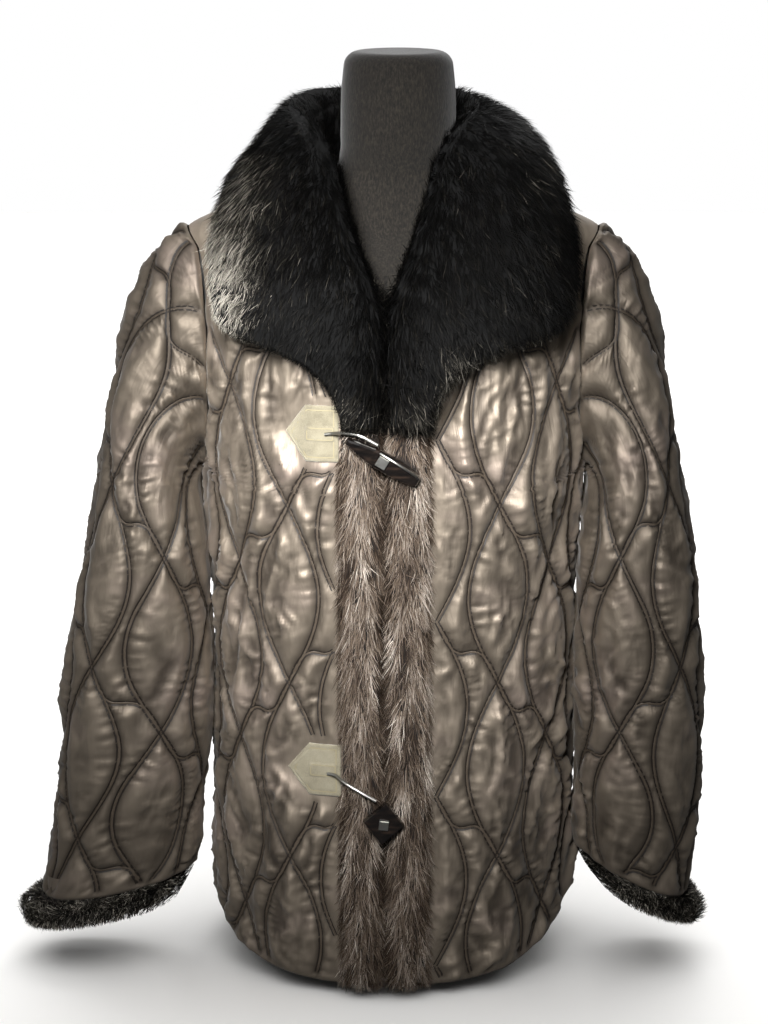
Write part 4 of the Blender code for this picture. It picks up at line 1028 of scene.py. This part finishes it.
def weld(thing, gap=0.02 * MM):
    """Joins the two edges of a seam."""
    body = bmesh.new()
    body.from_mesh(thing.data)
    rim = [vert for vert in body.verts if vert.is_boundary]
    bmesh.ops.remove_doubles(body, verts=rim, dist=gap)
    body.to_mesh(thing.data)
    body.free()


def slab(name, lower, upper, material):
    """A closed piece between two grids of points."""
    rows, columns = upper.shape[:2]
    count = rows * columns
    index = np.arange(count).reshape(rows, columns)
    a, b, c, d = index[:-1, :-1], index[:-1, 1:], index[1:, 1:], index[1:, :-1]
    top = np.stack([a.ravel(), b.ravel(), c.ravel(), d.ravel()], axis=1)
    faces = np.concatenate([top, top[:, ::-1] + count])
    rim = np.concatenate([index[0], index[1:, -1], index[-1, -2::-1], index[-2:0:-1, 0]])
    after = np.roll(rim, -1)
    faces = np.concatenate([faces, np.stack([after, rim, rim + count, after + count], axis=1)])
    thing = add_mesh(name, np.concatenate([upper.reshape(-1, 3), lower.reshape(-1, 3)]), faces, material)
    face_outwards(thing)
    return thing


# ---- materials ---------------------------------------------------------------------------------
def satin_material():
    """Taupe polyester satin: long floats with a broad metallic shine, and shade painted dark into its sewn
    channels and the hollows of its creases.
    """
    material, tree, shader = new_material("taupe satin", {
        "Metallic": 0.64, "Sheen Weight": 0.1, "Sheen Roughness": 0.4,
    })
    cloth = node(tree, "ShaderNodeUVMap", {".uv_map": "cloth"})
    shading = node(tree, "ShaderNodeTexNoise", {"Scale": per(91), "Detail": 3.0, "Roughness": 0.6},
                   [("Vector", cloth, "UV")])
    tone = node(tree, "ShaderNodeValToRGB",
                {"stops": [(0.3, "#746a5e"), (0.5, "#887d6f"), (0.68, "#9a8c80")]},
                [("Fac", shading, "Fac")])
    # painted shade: the base colour is mixed towards #2c241e as far as the shade attribute says, in the
    # channels and hollows
    painted_shade = node(tree, "ShaderNodeAttribute", {".attribute_name": "shade"})
    reach = node(tree, "ShaderNodeMath", {".operation": "MULTIPLY", 1: 0.88}, [(0, painted_shade, "Fac")])
    mix = node(tree, "ShaderNodeMix", {".data_type": "RGBA", 7: lin("#2c241e")},
               [(0, reach, "Value"), (6, tone, "Color")])
    tree.links.new(mix.outputs[2], shader.inputs["Base Color"])
    # folds of 29 mm and crinkles of 8 mm, which run about five times as far down as across
    stretch = node(tree, "ShaderNodeMapping", {"Scale": (1.0, 0.22, 1.0)}, [("Vector", cloth, "UV")])
    fold = node(tree, "ShaderNodeTexNoise", {
        ".noise_type": "RIDGED_MULTIFRACTAL", "Scale": per(29.4), "Detail": 1.0, "Roughness": 0.4,
        "Distortion": 0.7,
    }, [("Vector", stretch, "Vector")])
    crinkle = node(tree, "ShaderNodeTexNoise", {
        "Scale": per(8.33), "Detail": 4.0, "Roughness": 0.55, "Distortion": 0.8,
    }, [("Vector", stretch, "Vector")])
    rough = node(tree, "ShaderNodeMapRange", {"To Min": 0.5, "To Max": 0.64}, [("Value", crinkle, "Fac")])
    tree.links.new(rough.outputs["Result"], shader.inputs["Roughness"])
    large = node(tree, "ShaderNodeBump", {"Strength": 0.7, "Distance": 6 * MM}, [("Height", fold, "Fac")])
    fine = node(tree, "ShaderNodeBump", {"Strength": 0.4, "Distance": 2.2 * MM},
                [("Height", crinkle, "Fac"), ("Normal", large, "Normal")])
    tree.links.new(fine.outputs["Normal"], shader.inputs["Normal"])
    return material


def fur_material(name, stops, roughness=0.6, gloss=0.12):
    """Fur, dyed or natural: each hair has its own tone and pales towards its tip, with a soft gloss."""
    material, tree, shader = new_material(name, {"Roughness": roughness, "Specular IOR Level": gloss})
    tone = node(tree, "ShaderNodeAttribute", {".attribute_name": "tone"})
    along = node(tree, "ShaderNodeAttribute", {".attribute_name": "along"})
    lift = node(tree, "ShaderNodeMath", {".operation": "MULTIPLY_ADD", 1: 0.32},
                [(0, along, "Fac"), (2, tone, "Fac")])
    colour = node(tree, "ShaderNodeValToRGB", {"stops": stops}, [("Fac", lift, "Value")])
    tree.links.new(colour.outputs["Color"], shader.inputs["Base Color"])
    return material


def plain_material(name, code, roughness=0.8, metallic=0.0):
    """One even colour, for threads, underfur and paper."""
    return new_material(name, {"Base Color": lin(code), "Roughness": roughness, "Metallic": metallic})[0]


def jersey_material():
    """Heathered knit cover of the form: dark and pale fibres run together, and it has no shine."""
    material, tree, shader = new_material("heathered jersey", {"Roughness": 0.92, "Sheen Weight": 0.35})
    place = node(tree, "ShaderNodeTexCoord")
    stretch = node(tree, "ShaderNodeMapping", {"Scale": (1.0, 1.0, 0.32)}, [("Vector", place, "Object")])
    # a real stitch is about 1 mm wide and is drawn a little coarser here, to show
    heather = node(tree, "ShaderNodeTexNoise", {"Scale": per(1.613), "Detail": 2.0, "Roughness": 0.7},
                   [("Vector", stretch, "Vector")])
    tone = node(tree, "ShaderNodeValToRGB",
                {"stops": [(0.32, "#181613"), (0.5, "#27231e"), (0.7, "#39342c")]},
                [("Fac", heather, "Fac")])
    tree.links.new(tone.outputs["Color"], shader.inputs["Base Color"])
    bump = node(tree, "ShaderNodeBump", {"Strength": 0.5, "Distance": 0.6 * MM}, [("Height", heather, "Fac")])
    tree.links.new(bump.outputs["Normal"], shader.inputs["Normal"])
    return material


def suede_material():
    """Cream split leather with a brushed nap: dull, a little cloudy and pale at grazing angles."""
    material, tree, shader = new_material("cream suede", {"Roughness": 0.95, "Sheen Weight": 0.5})
    place = node(tree, "ShaderNodeTexCoord")
    nap = node(tree, "ShaderNodeTexNoise", {"Scale": per(1.111), "Detail": 3.0, "Roughness": 0.7},
               [("Vector", place, "Object")])
    cloud = node(tree, "ShaderNodeTexNoise", {"Scale": per(16.7), "Detail": 3.0},
                 [("Vector", place, "Object")])
    soft = node(tree, "ShaderNodeMath", {".operation": "MULTIPLY", 1: 0.6}, [(0, cloud, "Fac")])
    mixed = node(tree, "ShaderNodeMath", {".operation": "MULTIPLY_ADD", 1: 0.4},
                 [(0, nap, "Fac"), (2, soft, "Value")])
    tone = node(tree, "ShaderNodeValToRGB",
                {"stops": [(0.3, "#6a6453"), (0.5, "#837c68"), (0.7, "#908a77")]},
                [("Fac", mixed, "Value")])
    tree.links.new(tone.outputs["Color"], shader.inputs["Base Color"])
    bump = node(tree, "ShaderNodeBump", {"Strength": 0.5, "Distance": 0.5 * MM}, [("Height", nap, "Fac")])
    tree.links.new(bump.outputs["Normal"], shader.inputs["Normal"])
    return material


def horn_material():
    """Polished dark horn: nearly black, with brown streaks along its grain under a hard gloss."""
    material, tree, shader = new_material("dark horn", {
        "Roughness": 0.16, "Coat Weight": 0.5, "Coat Roughness": 0.08,
    })
    place = node(tree, "ShaderNodeTexCoord")
    streaks = (per(16.7), per(16.7), per(3.85))
    stretch = node(tree, "ShaderNodeMapping", {"Scale": streaks}, [("Vector", place, "Object")])
    grain = node(tree, "ShaderNodeTexNoise", {"Scale": 1.0, "Detail": 4.0}, [("Vector", stretch, "Vector")])
    tone = node(tree, "ShaderNodeValToRGB",
                {"stops": [(0.35, "#080707"), (0.55, "#14100e"), (0.75, "#2b211b")]},
                [("Fac", grain, "Fac")])
    tree.links.new(tone.outputs["Color"], shader.inputs["Base Color"])
    return material


def metal_material(name, code, roughness):
    """Worn grey metal or metal-wound cord: its gloss varies with small rubbed spots."""
    material, tree, shader = new_material(name, {
        "Base Color": lin(code), "Metallic": 1.0, "Roughness": roughness,
    })
    place = node(tree, "ShaderNodeTexCoord")
    worn = node(tree, "ShaderNodeTexNoise", {"Scale": per(1.429), "Detail": 2.0},
                [("Vector", place, "Object")])
    rough = node(tree, "ShaderNodeMapRange", {"To Min": roughness - 0.1, "To Max": roughness + 0.12},
                 [("Value", worn, "Fac")])
    tree.links.new(rough.outputs["Result"], shader.inputs["Roughness"])
    return material


# ---- the satin pieces --------------------------------------------------------------------------
SATIN = satin_material()
# spun polyester thread: dull and darker than the satin, so it draws the quilting lines
THREAD = plain_material("brown sewing thread", "#1e1711", 0.6)
# the same satin stood up in a seam: duller, and painted darker for the shade in the seam
SHADED_SEAM_SATIN = plain_material("gathered satin in a seam", "#51473c", 0.6, 0.25)


front_right = body_sheet("front_shell_right", True, -1, RIGHT_START, FRONT_CREASES, 11, SATIN)
SHEETS = {
    "front_right": front_right,
    "front_left": body_sheet("front_shell_left", True, 1, LEFT_START, FRONT_CREASES, 23, SATIN),
    "back": body_sheet("back_shell", False, 1, 0.0, BACK_CREASES, 37, SATIN),
    "sleeve_right": sleeve_sheet("right", 41, SATIN),
    "sleeve_left": sleeve_sheet("left", 53, SATIN),
}
for name, sheet in SHEETS.items():
    ride(sheet.thing, name)
    stitches = ride(sew("stitches_" + name, sheet, sheet.runs, THREAD))
    welts = ride(welt("welts_" + name, sheet, sheet.runs, SHADED_SEAM_SATIN))

# ---- tabs --------------------------------------------------------------------------------------
SUEDE = suede_material()
# cotton thread, a shade darker than the suede: the stitches show as a fine broken line
TAB_THREAD = plain_material("cream thread", "#8d8468", 0.7)
TAB_SEAM_IN = 4.2 * MM      # the stitched rim lies this far in from the edge
TAB_RISE = 0.9 * MM
BOX_MIDDLE = 64.5 * MM      # the raised box that holds the cord's end: its place, half sizes and seam
BOX_HALF = (13 * MM, 6.5 * MM)
BOX_SEAM = (11.5 * MM, 5 * MM)


def suede_tab(word, height):
    """A pointed tab that lies on the right front, with crowned edges, a sunk seam and a raised box."""
    s = np.linspace(TAB_EDGE, TAB_POINT - 0.3 * MM, 48)[:, None]
    v = np.linspace(-1.0, 1.0, 45)[None, :]
    half = np.minimum(TAB_HALF, (TAB_POINT - s) * TAB_HALF / (TAB_POINT - TAB_SHOULDER))
    z = height + half * v
    s = s + 0 * v
    rim = np.minimum(np.minimum((1 - np.abs(v)) * half, s - TAB_EDGE), (TAB_POINT - s) * 0.7)
    crown = TAB_RISE * (1 - np.exp(-rim / (1.2 * MM)))
    crown -= 0.5 * MM * np.exp(-(((rim - TAB_SEAM_IN) / (1.1 * MM)) ** 2))
    crown += 0.3 * MM * soft_noise(s.ravel(), z.ravel(), 18 * MM, 15 * MM, 7).reshape(s.shape)
    box = np.maximum(np.abs(s - BOX_MIDDLE) - BOX_HALF[0], np.abs(z - height) - BOX_HALF[1])
    crown += 1.0 * MM * np.clip(-box / (1.0 * MM), 0.0, 1.0)
    where = front_right.form.locate(s.ravel(), z.ravel())
    top, _ = front_right.at(*where, up=(LAY_GAP + TAB_RISE + crown).ravel())
    under, _ = front_right.at(*where, up=LAY_GAP / 2)
    shape = (*s.shape, 3)
    tab = slab("suede_tab_" + word, under.reshape(shape), top.reshape(shape), SUEDE)
    ride(tab, "tab_" + word)


def tab_seams(word, height):
    """The stitches round a tab's rim and round its box."""
    edge, shoulder = TAB_EDGE + TAB_SEAM_IN, TAB_SHOULDER - 0.4 * TAB_SEAM_IN
    up = TAB_HALF - TAB_SEAM_IN
    rim = [(edge, -up), (shoulder, -up), (TAB_POINT - 1.6 * TAB_SEAM_IN, 0.0), (shoulder, up), (edge, up)]
    left, right = BOX_MIDDLE - BOX_SEAM[0], BOX_MIDDLE + BOX_SEAM[0]
    box = [(left, -BOX_SEAM[1]), (right, -BOX_SEAM[1]), (right, BOX_SEAM[1]), (left, BOX_SEAM[1])]
    for number, (row, lift) in enumerate(((rim, LAY_GAP + 1.5 * MM), (box, LAY_GAP + 2.8 * MM))):
        row = np.array(row + row[:1]) + np.array([0.0, height])
        runs = [np.linspace(row[i], row[i + 1], 30) for i in range(len(row) - 1)]
        name = f"tab_stitches_{word}_{number}"
        seam = sew(name, front_right, runs, TAB_THREAD, apart=0.0, half=0.5 * MM, lift=lift)
        ride(seam)


for word, height in TAB_HEIGHTS.items():
    suede_tab(word, height)
    tab_seams(word, height)

# ---- fur ---------------------------------------------------------------------------------------
BLACK_FUR = fur_material("black fur", [
    (0.0, "#020202"), (0.4, "#090807"), (0.6, "#35322c"), (0.8, "#9b958a"), (1.0, "#d9d3c6"),
])
BROWN_FUR = fur_material("brown guard hair", [
    (0.0, "#130f0c"), (0.3, "#2e241c"), (0.55, "#63564a"), (0.8, "#a0958a"), (1.0, "#cfc6ba"),
])
# dense short fur at the roots: it only shows as the dark between the hairs
UNDERFUR = plain_material("dark underfur", "#060606", 1.0)
BROWN_UNDERFUR = plain_material("brown underfur", "#17110d", 1.0)


def collar_comb(place, normal):
    """The collar's hair falls outwards from the neck and down, and up over the roll inside it."""
    x, y, z = place.T
    around = np.hypot(x, y)
    outward = np.stack([x / around, y / around, np.zeros(len(x))], axis=1)
    inside = np.clip(-(outward * normal).sum(axis=1) * 2, 0.0, 1.0)[:, None]
    low = np.clip((0.70 - z) / 0.12, 0.0, 1.0)[:, None]
    sideways = np.stack([np.sign(x - CLOSING_X), 0 * x, 0 * x], axis=1)
    way = outward * (0.75 - 0.5 * low) + sideways * 0.45 * low + np.array([0.0, 0.0, -0.85])
    return way * (1 - inside) + np.array([0.0, 0.0, 1.0]) * inside


FROST = [
    # middle x, height, half width, half height, from x, to x (mm), how pale
    (-162, 680, 42, 62, -300, 300, 0.76),
    (-130, 770, 35, 50, -300, 300, 0.304),
    (135, 790, 25, 50, -300, 300, 0.13),
    (0, 620, math.inf, 20, 40, 300, 0.208),
    (0, 575, math.inf, 30, -70, 70, 0.18),
]


def collar_tone(place):
    """Black, frosted silver over the wearer's right chest and along the lower edges."""
    x, y, z = place.T
    tone = 0.04 + 0.07 * soft_noise(x + y, z, 40 * MM, 40 * MM, 91)
    front = np.clip(-y / (60 * MM), 0.0, 1.0)
    x, z = x / MM, z / MM
    for middle, height, half_wide, half_high, start, end, pale in FROST:
        spot = np.exp(-(((x - middle) / half_wide) ** 2) - (((z - height) / half_high) ** 2))
        tone = tone + pale * spot * (x > start) * (x < end) * (0.35 + 0.65 * front)
    return tone


def collar_reach(place):
    """How far the hair stands off: less under the wearer's right half, whose lower edge is cut close."""
    x, _, z = place.T
    return np.where((x < -0.03) & (z < 0.70), 1.5 * MM, 7.5 * MM)


for word, side in (("right", -1), ("left", 1)):
    hair = grow(
        "collar_hair_" + word, "collar", count=48000, length=30 * MM, width=0.8 * MM, depth=6 * MM, lay=0.55,
        comb=collar_comb, tone=collar_tone, material=BLACK_FUR, seed=101 + side, beyond=collar_reach,
        where=lambda middle, side=side: (middle[:, 0] - CLOSING_X) * side > 0,
    )
    ride(hair, "collar")
ride(core("collar_underfur", "collar", 4.5 * MM, UNDERFUR), "collar")


def down_comb(place, normal):
    """Guard hair points down, fanning a little to both sides."""
    way = np.zeros_like(place)
    way[:, 2] = -1.0
    way[:, 0] = normal[:, 0] * 0.6
    way[:, 1] = -0.12
    return way


def strip_tone(place):
    """Brown with paler patches, and painted shade where the two strips meet."""
    x, y, z = place.T
    patches = soft_noise(x, z, 22 * MM, 55 * MM, 17)
    # painted shade: the hairs are darker along the line where the two strips meet
    gap = np.exp(-(((x - CLOSING_X) / (5 * MM)) ** 2))
    return 0.29 + 0.24 * patches - 0.32 * gap


def up_comb(place, normal):
    """The fluff over the sleeve's hem stands up and outwards."""
    way = unit((place - place.mean(axis=0)) * np.array([1.0, 1.0, 0.0]))
    way[:, 2] = 1.0
    return way


def near_hem(word, middle):
    """True near the cuff's upper edge, which follows the slanting end of the sleeve."""
    end, tilt = SLEEVE_END[word]
    outer, inner = (float(read_column(SLEEVES[word], k, np.array([end]))[0]) * MM for k in (1, 2))
    across = (np.abs(middle[:, 0]) - (outer + inner) / 2) / ((outer - inner) / 2)
    return middle[:, 2] > end - tilt * across - 12 * MM


def cuff_tone(place):
    """Black with many grey tips."""
    x, y, z = place.T
    return 0.36 + 0.1 * soft_noise(x + y, z, 20 * MM, 30 * MM, 63)


for word in ("right", "left"):
    strip = "fur_strip_" + word
    hair = grow(
        strip + "_hair", strip, count=19000, length=28 * MM, width=0.75 * MM, depth=4 * MM, lay=0.38,
        comb=down_comb, tone=strip_tone, material=BROWN_FUR, seed=7, beyond=8 * MM,
    )
    ride(hair, strip)
    ride(core(strip + "_underfur", strip, 2.2 * MM, BROWN_UNDERFUR), strip)
    cuff = "cuff_" + word
    hair = grow(
        cuff + "_hair", cuff, count=9000, length=17 * MM, width=0.75 * MM, depth=8 * MM, lay=0.6,
        comb=down_comb, tone=cuff_tone, material=BLACK_FUR, seed=9, beyond=0.8 * MM,
    )
    ride(hair, cuff)
    fluff = grow(
        cuff + "_fluff", cuff, count=6500, length=22 * MM, width=0.75 * MM, depth=3 * MM, lay=1.1,
        comb=up_comb, tone=cuff_tone, material=BLACK_FUR, seed=10, beyond=9 * MM,
        where=lambda middle, word=word: near_hem(word, middle),
    )
    ride(fluff, cuff)
    ride(core(cuff + "_underfur", cuff, 8 * MM, BROWN_UNDERFUR, ring=True), cuff)

# ---- toggles, studs and cords keep their CAD form ----------------------------------------------
HORN = horn_material()
STEEL = metal_material("grey metal", "#b9b8b2", 0.32)
CORD = metal_material("silver-grey cord", "#9b9a94", 0.45)
for name, material in (
    ("toggle_upper", HORN), ("toggle_lower", HORN), ("stud_upper", STEEL), ("stud_lower", STEEL),
    ("cord_upper", CORD), ("cord_lower", CORD),
):
    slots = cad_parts[name].data.materials
    slots.clear()
    slots.append(material)


def on_upper_toggle(x, z):
    """A place on the upper toggle's front face, from its own length and height (mm)."""
    turn, lean = math.cos(UPPER_TILT), math.sin(UPPER_TILT)
    forward = TOGGLE_THICK / 2 + ROD_RADIUS / 2
    return Vector(UPPER_TOGGLE) + Vector(((x * turn + z * lean) * MM, -forward, (z * turn - x * lean) * MM))


def metal_bar(name, start, end, radius, material):
    """A round bar whose two ends narrow to a blunt nose."""
    along = (end - start).normalized()
    bpy.ops.object.select_all(action="DESELECT")
    bpy.ops.mesh.primitive_cylinder_add(
        vertices=ROD_SIDES, radius=radius, depth=(end - start).length, calc_uvs=False,
        location=(start + end) / 2, rotation=along.to_track_quat("Z", "Y").to_euler(),
    )
    bar = bpy.context.object
    bar.name = bar.data.name = name
    bpy.ops.object.transform_apply(location=True, rotation=True, scale=True)
    for way, tip in ((-along, start), (along, end)):
        bpy.ops.object.mode_set(mode="EDIT")
        bpy.ops.mesh.select_all(action="SELECT")
        bpy.ops.mesh.bisect(plane_co=tip - way * ROD_NOSE * radius, plane_no=way)
        bpy.ops.object.mode_set(mode="OBJECT")
        for part in (*bar.data.vertices, *bar.data.edges):
            part.select = False
        for face in bar.data.polygons:
            face.select = face.normal.dot(way) > 0.9
        bpy.ops.object.mode_set(mode="EDIT")
        bpy.ops.mesh.select_mode(type="FACE")
        bpy.ops.transform.resize(value=(ROD_NOSE,) * 3, center_override=tip)
        bpy.ops.object.mode_set(mode="OBJECT")
    bar.data.shade_smooth()
    bar.data.materials.append(material)
    return bar


# a bright metal edge along the upper toggle's top side
bar_ends = [on_upper_toggle(x, z) for x, z in ROD_ENDS]
ride(metal_bar("toggle_edge_bar", *bar_ends, ROD_RADIUS, STEEL))

# ---- dress form --------------------------------------------------------------------------------
FORM_SIDES = 96


def form_ring(height, drawn_in):
    """One ring of the dress form: the torso's outline, drawn in, with the neck leaning a little."""
    width, front, behind, power = (float(read_column(TORSO, k, np.array([height]))[0]) for k in (1, 2, 3, 4))
    inset = float(read_column(FORM_INSET, 1, np.array([height]))[0]) * MM + drawn_in
    lean = NECK_LEAN * min(1.0, max(0.0, (height - NECK_LEAN_FROM) / NECK_LEAN_OVER))
    turn = np.linspace(0.0, 2 * math.pi, FORM_SIDES, endpoint=False)
    across = np.sign(np.cos(turn)) * np.abs(np.cos(turn)) ** (2 / power)
    deep = np.sign(np.sin(turn)) * np.abs(np.sin(turn)) ** (2 / power)
    depth = np.where(np.sin(turn) > 0, front, behind) * MM
    x = lean + (width * MM - inset) * across
    return np.stack([x, -(depth - inset) * deep, np.full(FORM_SIDES, height)], axis=1)


def dress_form_cover(material):
    """The form from its foot to its rounded rim and flat top, as one closed skin."""
    levels = [(height, 0.0) for height in np.linspace(0.0, FORM_TOP - FORM_RIM, 150)]
    levels += [
        (FORM_TOP - FORM_RIM * (1 - math.sin(turn)), FORM_RIM * (1 - math.cos(turn)))
        for turn in np.linspace(0.0, math.pi / 2, 9)[1:]
    ]
    levels += [(FORM_TOP, FORM_RIM + step * MM) for step in FORM_LID]
    index = np.arange(len(levels) * FORM_SIDES).reshape(len(levels), FORM_SIDES)
    a, b = index[:-1], np.roll(index[:-1], -1, axis=1)
    c, d = np.roll(index[1:], -1, axis=1), index[1:]
    faces = np.stack([d.ravel(), c.ravel(), b.ravel(), a.ravel()], axis=1).tolist()
    faces += [index[0].tolist(), index[-1][::-1].tolist()]
    thing = add_mesh("form_cover", np.concatenate([form_ring(*level) for level in levels]), faces, material)
    face_outwards(thing)
    return thing


ride(dress_form_cover(jersey_material()), "dress_form")

# ---- floor, light and camera -------------------------------------------------------------------
bpy.ops.object.select_all(action="DESELECT")
bpy.ops.mesh.primitive_plane_add(size=9.0, location=(0, 0, 0))
floor = bpy.context.object
floor.name = "studio_floor"
# matt background paper; it throws no light back up on the jacket
floor.data.materials.append(plain_material("pale paper", "#f4f3f1", 0.9))
floor.visible_diffuse = False
floor.visible_glossy = False

world = bpy.data.worlds.new("studio")
bpy.context.scene.world = world
world.use_nodes = True
sky = world.node_tree
backdrop = sky.nodes["Background"]
backdrop.inputs["Color"].default_value = (1.0, 1.0, 1.0, 1.0)
# white to the camera, and almost dark as a light
ray = node(sky, "ShaderNodeLightPath")
bright = node(sky, "ShaderNodeMapRange", {"To Min": 0.06, "To Max": 1.0}, [("Value", ray, "Is Camera Ray")])
sky.links.new(bright.outputs["Result"], backdrop.inputs["Strength"])


def area_light(name, place, aim, size, energy, spread=180.0):
    """A softbox at a place, turned towards its aim."""
    lamp = bpy.data.lights.new(name, "AREA")
    lamp.shape = "RECTANGLE"
    lamp.size, lamp.size_y = size
    lamp.energy = energy
    lamp.spread = math.radians(spread)
    thing = bpy.data.objects.new(name, lamp)
    bpy.context.scene.collection.objects.link(thing)
    thing.location = place
    thing.rotation_euler = (Vector(aim) - Vector(place)).to_track_quat("-Z", "Y").to_euler()
    return thing


def light_only(lamp, things):
    """This lamp reaches only these objects, as flags on stands would keep it off the rest."""
    group = bpy.data.collections.new(lamp.name + "_reaches")
    for thing in things:
        group.objects.link(thing)
    lamp.light_linking.receiver_collection = group


# one key light from the front; what IN_SHADE names gets about half of it
IN_SHADE = ("sleeve", "stitches_sleeve", "welts_sleeve", "collar", "form_cover")
KEY_PLACE = (-0.2, -1.25, 1.2)
KEY_SIZE = (0.45, 0.45)
KEY_SPREAD = 46.0
pieces = [thing for thing in bpy.context.scene.objects if thing.type == "MESH" and thing is not floor]
for name, aim, energy, shaded in (("key_softbox", 0.6, 5.4, False), ("flagged_key_softbox", 0.5, 2.8, True)):
    lamp = area_light(name, KEY_PLACE, (-0.07, -0.1, aim), KEY_SIZE, energy, KEY_SPREAD)
    light_only(lamp, [thing for thing in pieces if thing.name.startswith(IN_SHADE) == shaded])
area_light("fill_softbox", (0.9, -1.6, 0.9), (0.1, 0.0, 0.5), (0.5, 0.8), 0.4)
area_light("left_softbox", (-1.8, -0.6, 0.9), (-0.2, 0.0, 0.45), (0.5, 1.0), 0.9)
area_light("back_softbox", (0.5, 2.0, 1.8), (0.0, 0.0, 0.5), (0.8, 0.8), 11.0)
area_light("top_softbox", (0.0, 1.6, 3.2), (0.0, 3.5, 0.0), (3.0, 1.0), 80.0, 140.0)
light_only(area_light("floor_softbox", (0.0, 0.0, 5.0), (0.0, 0.0, 0.0), (10.0, 10.0), 600.0), [floor])

lens = bpy.data.cameras.new("photo_camera")
camera = bpy.data.objects.new("photo_camera", lens)
bpy.context.scene.collection.objects.link(camera)
camera.location = (0.0, -2.090, 1.060)
camera.rotation_euler = (math.radians(75), 0.0, 0.0)
lens.sensor_fit = "VERTICAL"
lens.sensor_height = 36.0
lens.lens = 80.35
lens.shift_x = -9.5 / 1024
lens.shift_y = -65 / 1024
lens.clip_end = 100.0
bpy.context.scene.camera = camera
bpy.context.scene.view_settings.view_transform = "Standard"
